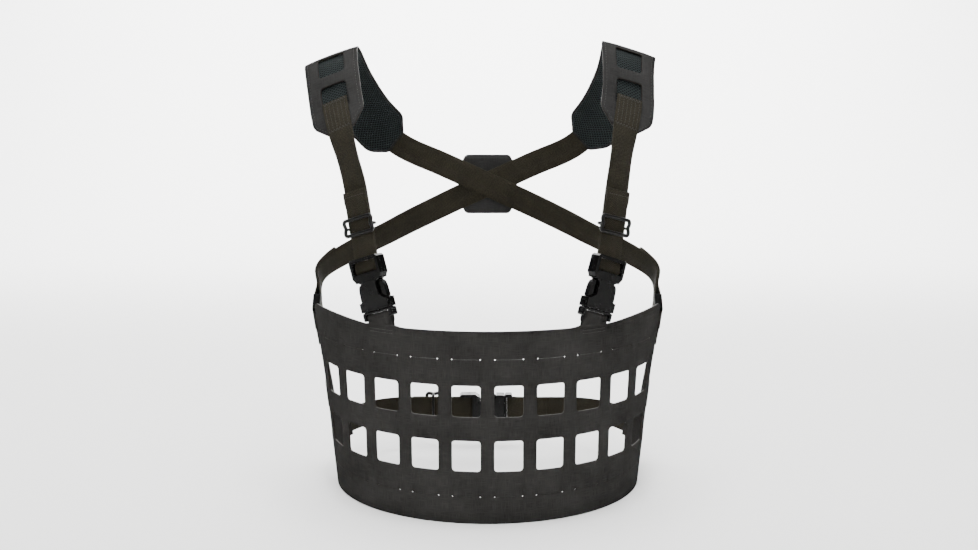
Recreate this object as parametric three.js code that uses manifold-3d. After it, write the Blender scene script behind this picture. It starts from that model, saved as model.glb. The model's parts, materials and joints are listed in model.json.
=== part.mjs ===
// Laser-cut chest harness vest: a bent laminate panel, two shoulder straps with pads, and a waist strap.
// Millimetres, +Z up. The front of the vest faces -Y, and +X is the wearer's left.
// The origin is on the torso's axis, level with the panel's bottom edge.
import * as THREE from 'three';
import { mergeVertices } from 'three/addons/utils/BufferGeometryUtils.js';
import Module from 'manifold-3d';

const wasm = await Module();
wasm.setup();

// ---------------------------------------------------------------- driving dimensions

// panel
const PANEL_HEIGHT = 177.8;
const COLUMN_PITCH = 38.1;
const ROW_PITCH = 50.8;
const COLUMNS = 12;
const WINDOW_WIDTH = 26;
const WINDOW_HEIGHT = 29;
const WINDOW_CORNER = 3;
const SLIT_HEIGHT = 1;
const SLIT_FROM_EDGE = 25.4;
const LAMINATE = 1.4;
const APEX_DEPTH = 135; // the panel's middle lies this far in front of the torso's axis
const SIDE_RISE = 4.5; // the top edge is this much higher at the sides than in the middle
const REAR_MARGIN = 15.4; // from the last column to the panel's rear edge
const TONGUE_LENGTH = 20;
const TONGUE_HEIGHT = 30;
const WAIST_HEIGHT = 42; // the waist strap's middle above the bottom edge

// bend of the panel round the torso: its angle at a distance u from the middle is bend*u + flare*u^3
const BEND_BOTTOM = 5.61e-3;
const BEND_TOP = 4.8e-3;
const FLARE_BOTTOM = 3.71e-8;
const FLARE_TOP = 2.93e-8;
const BEND_SPAN = 177.8; // height over which the bend goes from its bottom to its top value

// webbing and fits
const WEB = 25;
const WEB_THICKNESS = 1.4;
const GAP = 0.3; // between wrapped layers
const SEWN_GAP = 0.6; // between the bent layers of a pad
const CROSS_GAP = 1; // between the straps where they cross
const LAYER_GAP = 0.5; // between the two free layers of a doubled strap
const SIDE_PLAY = 0.9; // between the webbing's edge and a buckle's cheek
const CHEEK = 3;

// tabs cut out of the panel
const TAB_WIDTH = 26;
const FRONT_TAB_AT = 98.5;
const FRONT_TAB_RISE = 9;
const TAB_FILLET_IN = 7; // towards the middle of the panel
const TAB_FILLET_OUT = 2.5;
const TAB_STUB = 1.8; // how far the flat root of a front tab stands above the edge
const REAR_TAB_INSET = 10; // from the panel's rear edge
const REAR_TAB_RISE = 9;
const BUCKLE_YAW = 32.7;
const BUCKLE_LEAN = 2;
const BUCKLE_TILT = 19;
const STRAP_LEAN = 9;
const STRAP_TILT = { right: 17.5, left: 15 };
const LADDER_TILT = 50;

// side-release buckle, along its length from the bar that the tab wraps
const TAB_BAR_RADIUS = 1.4;
const WEB_BAR_RADIUS = 1.8;
const BUCKLE_DEPTH = 11;
const BUCKLE_WALL = 2.2;
const BUCKLE_MOUTH = 5.7;
const BUCKLE_WINDOW = [14.5, 32.5];
const BUCKLE_WEB_BAR = 43;
const BUCKLE_LENGTH = 54;
const SPINE_HALF = 8;
const PRONG_OUT = 0.4; // the prong's head stops this far inside the buckle's side
const PRONG_PLAY = 0.5; // between a prong and the buckle's front and back walls
const PRONG_ROOT = 1.6;
const GUIDE_HALF = 3.8;

// slider and ladder lock
const SLIDER_HEIGHT = 17;
const SLIDER_BAR = 3;
const SLIDER_FROM_BAR = 39.5; // from the buckle's web bar
const LADDER_WEB_BAR = 9;
const LADDER_LENGTH = 18;

// straps
const STRAIGHT = 72; // the doubled strap runs straight for this far above the buckle
const HEM_FROM_BAR = 72;
const PAD_LENGTH = 254;
const PAD_WIDTH = 53;
const PAD_START = 51.5; // from the top of the straight run to the pad's tip
const PAD_CHAMFER = 15;
const PAD_MESH = 5;
const PAD_WINDOWS = 5;
const PAD_PITCH = 41;
const PAD_WINDOW_SHIFT = -6; // of the middle window from the pad's middle, towards the chest
const PAD_OVERLAP = 35; // the webbing is sewn on the pad for this far
const CROSS_PATCH = 62;
const BACK_DEPTH = 76; // the waist strap's back run lies this far behind the axis
const BACK_STRAIGHT = 82; // half the length of that run

const COLOUR = {
  laminate: { color: 0x29292b, roughness: 0.85, metalness: 0 },
  padCover: { color: 0x333336, roughness: 0.85, metalness: 0 },
  mesh: { color: 0x1c2226, roughness: 0.9, metalness: 0 },
  webbing: { color: 0x2b2620, roughness: 0.9, metalness: 0 },
  plastic: { color: 0x0d0d0d, roughness: 0.3, metalness: 0 },
};

// ---------------------------------------------------------------- small helpers

const vest = new THREE.Group();
const vec = (x, y, z) => new THREE.Vector3(x, y, z);
const radians = THREE.MathUtils.degToRad;
const smooth = THREE.MathUtils.smoothstep;

function addMesh(name, geometry, colour, frame) {
  const mesh = new THREE.Mesh(geometry, new THREE.MeshStandardMaterial(COLOUR[colour]));
  mesh.name = name;
  if (frame) {
    mesh.position.copy(frame.origin);
    mesh.quaternion.setFromRotationMatrix(new THREE.Matrix4().makeBasis(frame.side, frame.back, frame.along));
  }
  vest.add(mesh);
}

function indexed(points, triangles) {
  const geometry = new THREE.BufferGeometry();
  const numbers = points.flatMap((p) => p.toArray());
  geometry.setAttribute('position', new THREE.Float32BufferAttribute(numbers, 3));
  geometry.setIndex(triangles);
  return geometry;
}

function solid(geometry) {
  const bare = geometry.clone();
  bare.deleteAttribute('normal');
  bare.deleteAttribute('uv');
  const merged = mergeVertices(bare, 1e-4);
  const vertProperties = new Float32Array(merged.attributes.position.array);
  const triVerts = new Uint32Array(merged.index.array);
  return new wasm.Manifold(new wasm.Mesh({ numProp: 3, vertProperties, triVerts }));
}

function geometryOf(manifold) {
  const mesh = manifold.getMesh();
  const geometry = new THREE.BufferGeometry();
  geometry.setAttribute('position', new THREE.BufferAttribute(new Float32Array(mesh.vertProperties), 3));
  geometry.setIndex(Array.from(mesh.triVerts));
  return geometry;
}

// a block between two corners
function block([x0, x1], [y0, y1], [z0, z1]) {
  const box = new THREE.BoxGeometry(x1 - x0, y1 - y0, z1 - z0);
  return solid(box.translate((x0 + x1) / 2, (y0 + y1) / 2, (z0 + z1) / 2));
}

// a round bar along X at the height z
function bar(half, radius, z) {
  const round = new THREE.CylinderGeometry(radius, radius, 2 * half, 12);
  return solid(round.rotateZ(Math.PI / 2).translate(0, 0, z));
}

// a flat shape drawn in x and z, given a thickness between two y values
function plate(shape, [y0, y1]) {
  const options = { depth: y1 - y0, bevelEnabled: false, curveSegments: 4 };
  const geometry = new THREE.ExtrudeGeometry(shape, options);
  return solid(geometry.rotateX(Math.PI / 2).translate(0, y1, 0));
}

function outline(points) {
  return new THREE.Shape(points.map(([x, z]) => new THREE.Vector2(x, z)));
}

// an outline that is given by its half with positive x, from the bottom up
function bothSides(half) {
  return outline([...half, ...half.map(([x, z]) => [-x, z]).reverse()]);
}

// a frame on a strap: along runs up the strap, back points into the body, side across the strap
function strapFrame(origin, yaw, lean, tilt) {
  const across = vec(Math.cos(yaw), Math.sin(yaw), 0);
  const outward = vec(Math.sin(yaw), -Math.cos(yaw), 0);
  const up = vec(0, 0, Math.cos(lean)).addScaledVector(outward, -Math.sin(lean));
  const back = outward.clone().multiplyScalar(-Math.cos(lean)).add(vec(0, 0, -Math.sin(lean)));
  const along = up.clone().multiplyScalar(Math.cos(tilt)).addScaledVector(across, Math.sin(tilt));
  const side = across.clone().multiplyScalar(Math.cos(tilt)).addScaledVector(up, -Math.sin(tilt));
  return { origin, along, back, side };
}

// the point of a frame that lies z along the strap and n in front of it
function inFrame(frame, n, z) {
  return frame.origin.clone().addScaledVector(frame.along, z).addScaledVector(frame.back, -n);
}

// ---------------------------------------------------------------- bent sheets and ribbons

// A sheet drawn in u (the way it bends) and v (straight), cut into strips at the given lines. lower and upper
// give its edges, and holes the list of [centre, halfHeight(u)] in the strip whose middle is given.
function bentSheet({ lines, lower, upper, holes, thickness, place }) {
  const onLine = lines.map(() => new Map());
  const points = [];
  const vertex = (line, v) => {
    const key = v.toFixed(3);
    if (!onLine[line].has(key)) {
      onLine[line].set(key, { v, id: points.length / 2 });
      points.push(place(lines[line], v, thickness / 2), place(lines[line], v, -thickness / 2));
    }
  };
  const pieces = [];
  for (let i = 0; i + 1 < lines.length; i++) {
    const middle = (lines[i] + lines[i + 1]) / 2;
    const levels = [i, i + 1].map((line) => {
      const u = lines[line];
      const cuts = holes(middle).flatMap(([centre, half]) => [centre - half(u), centre + half(u)]);
      return [lower(u, middle), ...cuts, upper(u, middle)];
    });
    levels.forEach((values, end) => values.forEach((v) => vertex(i + end, v)));
    for (let k = 0; k < levels[0].length; k += 2) {
      pieces.push({ line: i, from: [levels[0][k], levels[1][k]], to: [levels[0][k + 1], levels[1][k + 1]] });
    }
  }
  const skin = [];
  for (const { line, from, to } of pieces) {
    const [left, right] = [0, 1].map((end) => {
      const all = [...onLine[line + end].values()].sort((a, b) => a.v - b.v);
      return all.filter(({ v }) => v > from[end] - 1e-3 && v < to[end] + 1e-3);
    });
    let i = 0;
    let j = 0;
    while (i + 1 < left.length || j + 1 < right.length) {
      const takeLeft = j + 1 >= right.length || (i + 1 < left.length && left[i + 1].v < right[j + 1].v);
      const next = takeLeft ? left[i + 1] : right[j + 1];
      skin.push([left[i].id, right[j].id, next.id]);
      i += takeLeft ? 1 : 0;
      j += takeLeft ? 0 : 1;
    }
  }
  const edges = new Map();
  const triangles = [];
  for (const [a, b, c] of skin) {
    triangles.push(2 * a, 2 * b, 2 * c, 2 * a + 1, 2 * c + 1, 2 * b + 1);
    for (const [p, q] of [[a, b], [b, c], [c, a]]) {
      if (!edges.delete(`${q}/${p}`)) edges.set(`${p}/${q}`, [p, q]);
    }
  }
  for (const [p, q] of edges.values()) {
    triangles.push(2 * q, 2 * p, 2 * p + 1, 2 * q, 2 * p + 1, 2 * q + 1);
  }
  return indexed(points, triangles);
}

// A flat strip swept through stations, each a point and the direction across the strip.
function ribbon(stations, width, thickness) {
  const points = [];
  const triangles = [];
  stations.forEach(({ point, across }, i) => {
    const before = stations[Math.max(i - 1, 0)].point;
    const after = stations[Math.min(i + 1, stations.length - 1)].point;
    const along = after.clone().sub(before).normalize();
    const side = across.clone().addScaledVector(along, -across.dot(along)).normalize();
    const face = along.clone().cross(side);
    for (const [s, f] of [[-1, -1], [1, -1], [1, 1], [-1, 1]]) {
      const edge = point.clone().addScaledVector(side, (s * width) / 2);
      points.push(edge.addScaledVector(face, (f * thickness) / 2));
    }
  });
  for (let i = 0; i + 1 < stations.length; i++) {
    for (let k = 0; k < 4; k++) {
      const [a, b] = [4 * i + k, 4 * i + ((k + 1) % 4)];
      triangles.push(a, b, b + 4, a, b + 4, a + 4);
    }
  }
  const last = 4 * (stations.length - 1);
  triangles.push(0, 2, 1, 0, 3, 2, last, last + 1, last + 2, last, last + 2, last + 3);
  return indexed(points, triangles);
}

// the half turn of a strip round a bar, from behind it (or from in front) to the other side
function halfTurn(frame, barAt, radius, from, steps = 8, over = -1) {
  const stations = [];
  for (let i = 0; i <= steps; i++) {
    const angle = (Math.PI * i) / steps;
    const n = from * radius * Math.cos(angle);
    stations.push({ point: inFrame(frame, n, barAt + over * radius * Math.sin(angle)), across: frame.side });
  }
  return stations;
}

// ---------------------------------------------------------------- the panel's bent surface

function panelAngle(u, v) {
  const t = v / BEND_SPAN;
  const bend = THREE.MathUtils.lerp(BEND_BOTTOM, BEND_TOP, t);
  const flare = THREE.MathUtils.lerp(FLARE_BOTTOM, FLARE_TOP, t);
  return bend * u + flare * u ** 3;
}

function panelPoint(u, v, outward = 0) {
  const steps = 16;
  let x = 0;
  let y = 0;
  for (let i = 0; i < steps; i++) {
    const angle = panelAngle((u * (i + 0.5)) / steps, v);
    x += (Math.cos(angle) * u) / steps;
    y += (Math.sin(angle) * u) / steps;
  }
  const angle = panelAngle(u, v);
  return vec(x + Math.sin(angle) * outward, y - APEX_DEPTH - Math.cos(angle) * outward, v);
}

const HALF_GRID = (COLUMNS * COLUMN_PITCH) / 2;
const REAR_LINE = HALF_GRID + REAR_MARGIN;
const TONGUE_END = REAR_LINE + TONGUE_LENGTH;
const REAR_TAB_AT = REAR_LINE - REAR_TAB_INSET;
const REAR_SLOPE = Math.tan(radians(LADDER_TILT));
const REAR_CUT = REAR_LINE - 34; // where the top edge turns down to the rear tab
const TONGUE_FILLET = 12;

function topEdge(u, middle) {
  const at = Math.abs(u);
  if (Math.abs(middle) > REAR_LINE) {
    const rest = Math.max(TONGUE_FILLET - (at - REAR_LINE), 0);
    const lift = TONGUE_FILLET - Math.sqrt(TONGUE_FILLET ** 2 - rest ** 2);
    return WAIST_HEIGHT + TONGUE_HEIGHT / 2 + lift;
  }
  const plain = PANEL_HEIGHT + SIDE_RISE * smooth(at, FRONT_TAB_AT + 20, FRONT_TAB_AT + 62);
  const onTab = Math.abs(Math.abs(middle) - FRONT_TAB_AT) < TAB_WIDTH / 2;
  const beside = onTab ? 0 : Math.abs(at - FRONT_TAB_AT) - TAB_WIDTH / 2;
  const radius = at < FRONT_TAB_AT ? TAB_FILLET_IN : TAB_FILLET_OUT;
  const rest = THREE.MathUtils.clamp(radius - beside, 0, radius);
  const fillet = onTab ? TAB_STUB : Math.min(radius - Math.sqrt(radius ** 2 - rest ** 2), TAB_STUB);
  return plain + fillet - REAR_SLOPE * Math.max(at - REAR_CUT, 0);
}

function bottomEdge(u) {
  const top = WAIST_HEIGHT - TONGUE_HEIGHT / 2;
  return top * smooth(Math.abs(u), HALF_GRID - 14, REAR_LINE + 6);
}

const SLIT_ROWS = [SLIT_FROM_EDGE, PANEL_HEIGHT - SLIT_FROM_EDGE];
const WINDOW_ROWS = [PANEL_HEIGHT / 2 - ROW_PITCH / 2, PANEL_HEIGHT / 2 + ROW_PITCH / 2];
const COLUMN_AT = Array.from({ length: COLUMNS }, (_, i) => (i - (COLUMNS - 1) / 2) * COLUMN_PITCH);

// half the height of a window at a distance from its column's middle, with its rounded corners
function windowHalf(distance, halfWidth, halfHeight, corner) {
  const rest = Math.max(corner - (halfWidth - distance), 0);
  return halfHeight - corner + Math.sqrt(Math.max(corner ** 2 - rest ** 2, 0));
}

function panelHoles(middle) {
  const column = COLUMN_AT.find((at) => Math.abs(middle - at) < WINDOW_WIDTH / 2);
  if (column === undefined) return [];
  const square = (u) => windowHalf(Math.abs(u - column), WINDOW_WIDTH / 2, WINDOW_HEIGHT / 2, WINDOW_CORNER);
  const slit = () => SLIT_HEIGHT / 2;
  return [[SLIT_ROWS[0], slit], [WINDOW_ROWS[0], square], [WINDOW_ROWS[1], square], [SLIT_ROWS[1], slit]];
}

// cut lines across a window: its sides, its rounded corners and its middle
function windowLines(at, halfWidth, corner) {
  const bend = corner * (1 - Math.SQRT1_2);
  const rightSide = [halfWidth - corner, halfWidth - bend, halfWidth];
  return [...rightSide.map((d) => at - d), at, ...rightSide.map((d) => at + d)];
}

// cut lines along a fillet that ends at a side
function filletLines(side, radius, sign) {
  return [0, 30, 60, 90].map((angle) => side + sign * radius * (1 - Math.cos(radians(angle))));
}

function sortedLines(lines) {
  const sorted = [...lines].sort((a, b) => a - b);
  return sorted.filter((u, i) => i === 0 || u - sorted[i - 1] > 0.25);
}

function makePanel(tabLoops) {
  const oneSide = [
    ...filletLines(FRONT_TAB_AT + TAB_WIDTH / 2, TAB_FILLET_OUT, 1),
    ...filletLines(FRONT_TAB_AT - TAB_WIDTH / 2, TAB_FILLET_IN, -1),
    FRONT_TAB_AT,
    ...[REAR_CUT, REAR_LINE - 10, REAR_LINE, REAR_LINE + 4, REAR_LINE + TONGUE_FILLET, TONGUE_END],
  ];
  const lines = sortedLines([
    ...oneSide,
    ...oneSide.map((u) => -u),
    ...COLUMN_AT.flatMap((at) => windowLines(at, WINDOW_WIDTH / 2, WINDOW_CORNER)),
  ]);
  const sheet = bentSheet({
    lines,
    lower: bottomEdge,
    upper: topEdge,
    holes: panelHoles,
    thickness: LAMINATE,
    place: (u, v, w) => panelPoint(u, v, w),
  });
  return geometryOf(tabLoops.reduce((whole, loop) => whole.add(solid(loop)), solid(sheet)));
}

// A tab of the panel: up from the edge, round the bar at the frame's origin, and down again. A fold of 1 ends
// behind the panel, and a fold of -1 in front of it.
const TAB_TURN = TAB_BAR_RADIUS + GAP + LAMINATE / 2;

function tabLoop(frame, u, edge, fold, down) {
  const tangent = panelAngle(u, edge);
  const across = vec(Math.cos(tangent), Math.sin(tangent), 0);
  const start = { point: inFrame(frame, fold * TAB_TURN, -down.length), across: frame.side };
  const turn = halfTurn(frame, 0, TAB_TURN, fold, 8, 1);
  const below = { point: inFrame(frame, -fold * TAB_TURN, -4), across: frame.side };
  const beside = { point: panelPoint(down.u, down.v + 3, fold * -LAMINATE * 1.1), across };
  const end = { point: panelPoint(down.u, down.v, fold * -LAMINATE * 0.55), across };
  return ribbon([start, ...turn, below, beside, end], TAB_WIDTH, LAMINATE);
}

// the frame of a buckle or lock whose bar the tab at u wraps
function tabFrame(side, u, edge, rise, fold, yaw, lean, tilt) {
  const frame = strapFrame(vec(0, 0, 0), side * yaw, lean, side * tilt);
  const base = panelPoint(side * u, edge);
  frame.origin = base.addScaledVector(frame.along, rise).addScaledVector(frame.back, fold * TAB_TURN);
  return frame;
}

// ---------------------------------------------------------------- side-release buckle

const CHEEK_IN = WEB / 2 + SIDE_PLAY;
const HALF_WIDTH = CHEEK_IN + CHEEK - 0.4;
const HALF_DEPTH = BUCKLE_DEPTH / 2;
const CAVITY = HALF_DEPTH - BUCKLE_WALL;
const PRONG_THICKNESS = 2 * (CAVITY - PRONG_PLAY);
const CAVITY_HALF = HALF_WIDTH - 2.8;
const LAYER = (WEB_THICKNESS + LAYER_GAP) / 2; // from a doubled strap's middle to each layer's middle

function buckleBody() {
  const w = HALF_WIDTH;
  const neck = BUCKLE_WINDOW[1];
  const side = (s) => [
    [s * (w - 1), BUCKLE_MOUTH],
    [s * w, BUCKLE_MOUTH + 2],
    [s * w, BUCKLE_WINDOW[0] - 0.5],
    [s * (w - 2), neck],
    [s * (w - 2), neck + 1],
    [s * (w + 0.6), neck + 4.5],
    [s * (w + 0.6), BUCKLE_LENGTH - 2],
    [s * (w - 1.4), BUCKLE_LENGTH],
  ];
  const shell = plate(outline([...side(1), ...side(-1).reverse()]), [-HALF_DEPTH, HALF_DEPTH]);
  const cavity = block([-CAVITY_HALF, CAVITY_HALF], [-CAVITY, CAVITY], [0, neck]);
  const openings = [1, -1].map((s) => {
    const shape = new THREE.Shape();
    shape.moveTo(s * (w + 3), BUCKLE_WINDOW[0]);
    shape.lineTo(s * (w - 2), BUCKLE_WINDOW[0]);
    shape.lineTo(s * SPINE_HALF, BUCKLE_WINDOW[0] + 4);
    shape.lineTo(s * SPINE_HALF, neck - 5);
    shape.quadraticCurveTo(s * SPINE_HALF, neck, s * (SPINE_HALF + 5), neck);
    shape.lineTo(s * (w + 3), neck);
    return plate(shape, [-HALF_DEPTH - 1, HALF_DEPTH + 1]);
  });
  const rim = BUCKLE_LENGTH - 3.2;
  const slot = block([-CHEEK_IN, CHEEK_IN], [-HALF_DEPTH - 1, HALF_DEPTH + 1], [neck + 5.5, rim]);
  const strapFront = -LAYER - WEB_THICKNESS / 2 - GAP - 0.1;
  const behindRim = block([-CHEEK_IN, CHEEK_IN], [strapFront, HALF_DEPTH + 1], [rim - 1, BUCKLE_LENGTH + 1]);
  const cut = [cavity, ...openings, slot, behindRim].reduce((whole, piece) => whole.subtract(piece), shell);
  return geometryOf(cut.add(bar(CHEEK_IN + 1, WEB_BAR_RADIUS, BUCKLE_WEB_BAR)));
}

const BASE_TOP = BUCKLE_MOUTH - 0.4;
const BASE_HALF = CHEEK_IN + CHEEK;
const WEB_SLOT_TOP = TAB_BAR_RADIUS + LAMINATE + 2 * GAP;

function buckleBase() {
  const w = BASE_HALF;
  const rightHalf = [
    [w - 1, -2.5],
    [w, -1.5],
    [w, BASE_TOP - 1],
    [w - 1.2, BASE_TOP],
  ];
  const shape = bothSides(rightHalf);
  const frame = plate(shape, [-HALF_DEPTH + 1, HALF_DEPTH - 1]);
  const slot = block([-CHEEK_IN, CHEEK_IN], [-HALF_DEPTH, HALF_DEPTH], [-4, WEB_SLOT_TOP]);
  const guideTop = BUCKLE_WINDOW[1] - 6;
  const guide = block([-GUIDE_HALF, GUIDE_HALF], [-CAVITY + 0.6, CAVITY - 0.6], [BASE_TOP - 1, guideTop]);
  return geometryOf(frame.subtract(slot).add(bar(CHEEK_IN + 1, TAB_BAR_RADIUS, 0)).add(guide));
}

const PRONG_PIVOT = [CAVITY_HALF - PRONG_ROOT - 1.6, BASE_TOP + GAP + 0.05 + PRONG_ROOT];

// a prong about its own pivot: a springy arm with the head that shows in the buckle's side
function prong(side) {
  const [px, pz] = PRONG_PIVOT;
  const out = HALF_WIDTH - PRONG_OUT - px;
  const low = BUCKLE_WINDOW[0] + 0.5 - pz;
  const high = BUCKLE_WINDOW[1] - 1.6 - pz;
  const r = PRONG_ROOT;
  const shape = new THREE.Shape();
  shape.moveTo(-side * r, 0);
  shape.absarc(0, 0, r, side > 0 ? Math.PI : 0, side > 0 ? 2 * Math.PI : -Math.PI, side < 0);
  shape.lineTo(side * r, low);
  shape.lineTo(side * (out - 1), low);
  shape.lineTo(side * out, low + 1.2);
  shape.lineTo(side * (out - 0.4), high - 7);
  shape.quadraticCurveTo(side * (out - 1), high, side * (out - 5), high);
  shape.lineTo(side * 0.2, high);
  shape.lineTo(side * -0.4, low + 3);
  return geometryOf(plate(shape, [-PRONG_THICKNESS / 2, PRONG_THICKNESS / 2]));
}

function prongFrame(frame, side) {
  const [px, pz] = PRONG_PIVOT;
  const origin = inFrame(frame, 0, pz).addScaledVector(frame.side, side * px);
  return { ...frame, origin };
}

function addBuckle(prefix, frame) {
  addMesh(`${prefix}_buckle_body`, buckleBody(), 'plastic', frame);
  addMesh(`${prefix}_buckle_base`, buckleBase(), 'plastic', frame);
  addMesh(`${prefix}_prong_a`, prong(1), 'plastic', prongFrame(frame, 1));
  addMesh(`${prefix}_prong_b`, prong(-1), 'plastic', prongFrame(frame, -1));
}

// ---------------------------------------------------------------- slider and ladder lock

// two bars in front of the doubled strap and one behind it, joined at both ends
function slider() {
  const inner = WEB / 2 + SIDE_PLAY;
  const outer = inner + SLIDER_BAR;
  const half = SLIDER_HEIGHT / 2;
  const face = LAYER + WEB_THICKNESS / 2 + GAP;
  const ring = new THREE.Shape();
  ring.moveTo(-inner, -half);
  ring.lineTo(inner, -half);
  ring.quadraticCurveTo(outer + 0.6, -half, outer, -half / 2);
  ring.quadraticCurveTo(outer - 0.4, -1, outer - 1.2, 0);
  ring.quadraticCurveTo(outer - 0.4, 1, outer, half / 2);
  ring.quadraticCurveTo(outer + 0.6, half, inner, half);
  ring.lineTo(-inner, half);
  ring.quadraticCurveTo(-outer - 0.6, half, -outer, half / 2);
  ring.quadraticCurveTo(-outer + 0.4, 1, -outer + 1.2, 0);
  ring.quadraticCurveTo(-outer + 0.4, -1, -outer, -half / 2);
  ring.quadraticCurveTo(-outer - 0.6, -half, -inner, -half);
  const front = [-face - SLIDER_BAR, -face];
  const open = half - SLIDER_BAR;
  const window = block([-inner, inner], [front[0] - 1, front[1] + 1], [-open, open]);
  const depth = face + SLIDER_BAR - 0.4;
  const post = (x) => block(x, [front[1] - 0.5, depth], [-2, 2]);
  const back = block([-inner - 0.5, inner + 0.5], [face, depth], [-2, 2]);
  const posts = post([inner, outer - 1.4]).add(post([-outer + 1.4, -inner]));
  return geometryOf(plate(ring, front).subtract(window).add(posts).add(back));
}

const LADDER_TURN = WEB_BAR_RADIUS + GAP + WEB_THICKNESS / 2;

function ladderLock() {
  const w = CHEEK_IN + CHEEK;
  const half = LADDER_TURN + WEB_THICKNESS / 2;
  const rightHalf = [
    [w - 1.5, -2.5],
    [w, -1],
    [w, LADDER_LENGTH - 2],
    [w - 2, LADDER_LENGTH],
  ];
  const shape = bothSides(rightHalf);
  const frame = plate(shape, [-half, half]);
  const slot = block([-CHEEK_IN, CHEEK_IN], [-half - 1, half + 1], [-4, LADDER_LENGTH + 1]);
  const rimAt = [LADDER_LENGTH - 3, LADDER_LENGTH - 0.2];
  const rim = block([-CHEEK_IN - 1, CHEEK_IN + 1], [-1.2, 1.2], rimAt);
  const tabBar = bar(CHEEK_IN + 1, TAB_BAR_RADIUS, 0);
  const bars = tabBar.add(bar(CHEEK_IN + 1, WEB_BAR_RADIUS, LADDER_WEB_BAR));
  return geometryOf(frame.subtract(slot).add(rim).add(bars));
}

// ---------------------------------------------------------------- shoulder straps

// Hand-chosen points of each shoulder strap's middle, from the front of the pad over the shoulder, across the
// back and down to the other side: sideways (the strap's own side is positive), back, and above the top edge.
const SHOULDER = {
  right: [
    [131, -76, 165],
    [140, -53, 198],
    [148, -17, 236],
    [149, 20, 237],
    [141, 52, 212],
    [121, 73, 177],
  ],
  left: [
    [123, -76, 165],
    [130, -53, 200],
    [133, -17, 242],
    [137, 20, 243],
    [134, 52, 216],
    [118, 73, 179],
  ],
};
const BACK = [[92, 84, 148], [46, 89, 126], [0, 90.5, 105], [-46, 89, 84], [-98, 72, 60]];

// outward from the torso, whose shoulders slope down to the sides
function bodyNormal(p) {
  const high = smooth(p.z, PANEL_HEIGHT + 110, PANEL_HEIGHT + 200);
  const above = Math.max(p.z - PANEL_HEIGHT - 122, 0);
  return vec(THREE.MathUtils.lerp(0.57, 0.35, high) * p.x, 0.95 * (p.y - 5), 1.22 * above).normalize();
}

function makeRoute(curve, startNormal, endNormal) {
  const length = curve.getLength();
  const at = (s) => {
    const t = THREE.MathUtils.clamp(s / length, 0, 1);
    const point = curve.getPointAt(t);
    const along = curve.getTangentAt(t);
    const normal = bodyNormal(point);
    normal.lerp(startNormal, 1 - smooth(s, STRAIGHT, STRAIGHT + 45));
    normal.lerp(endNormal, smooth(s, length - 70, length - 5));
    normal.addScaledVector(along, -normal.dot(along)).normalize();
    return { point, along, normal, across: along.clone().cross(normal) };
  };
  return { length, at };
}

function stationOn(route, s, n) {
  const { point, normal, across } = route.at(s);
  return { point: point.addScaledVector(normal, n), across };
}

function stationsAlong(route, from, to, step, offset) {
  const count = Math.max(Math.ceil(Math.abs(to - from) / step), 1);
  return Array.from({ length: count + 1 }, (_, i) => {
    const s = from + ((to - from) * i) / count;
    return stationOn(route, s, offset(s));
  });
}

const COVER_OFFSET = -LAYER - WEB_THICKNESS / 2 - SEWN_GAP - LAMINATE / 2;
const MESH_OFFSET = COVER_OFFSET - LAMINATE / 2 - SEWN_GAP - PAD_MESH / 2;

const PAD_WINDOW_AT = Array.from({ length: PAD_WINDOWS }, (_, i) => {
  const fromMiddle = (i - (PAD_WINDOWS - 1) / 2) * PAD_PITCH;
  return PAD_LENGTH / 2 + PAD_WINDOW_SHIFT + fromMiddle;
});

function padSheet(route, padStart, { length, width, chamfer, windows, thickness, offset }) {
  const from = (PAD_LENGTH - length) / 2;
  const centres = PAD_WINDOW_AT;
  const half = (s) => width / 2 - Math.max(chamfer - Math.min(s - from, from + length - s), 0) * 0.9;
  const steps = [-PAD_PITCH / 2, -WINDOW_HEIGHT / 2, -8, 0, 8, WINDOW_HEIGHT / 2, PAD_PITCH / 2];
  const shared = (at) => steps.map((d) => at + d);
  const lines = sortedLines([
    ...centres.flatMap(shared),
    ...(windows ? centres.flatMap((at) => windowLines(at, WINDOW_HEIGHT / 2, WINDOW_CORNER)) : []),
    ...[0, chamfer / 2, chamfer, length - chamfer, length - chamfer / 2, length].map((d) => from + d),
  ]);
  return bentSheet({
    lines,
    lower: (s) => -half(s),
    upper: (s) => half(s),
    holes: (middle) => {
      if (!windows) return [];
      const centre = centres.find((at) => Math.abs(middle - at) < WINDOW_HEIGHT / 2);
      if (centre === undefined) return [];
      const [halfLength, halfAcross] = [WINDOW_HEIGHT / 2, WINDOW_WIDTH / 2];
      return [[0, (s) => windowHalf(Math.abs(s - centre), halfLength, halfAcross, WINDOW_CORNER)]];
    },
    thickness,
    place: (s, v, w) => {
      const { point, normal, across } = route.at(padStart + s);
      return point.addScaledVector(normal, offset + w).addScaledVector(across, -v);
    },
  });
}

const BAR_TURN = WEB_BAR_RADIUS + GAP + WEB_THICKNESS / 2;

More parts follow.
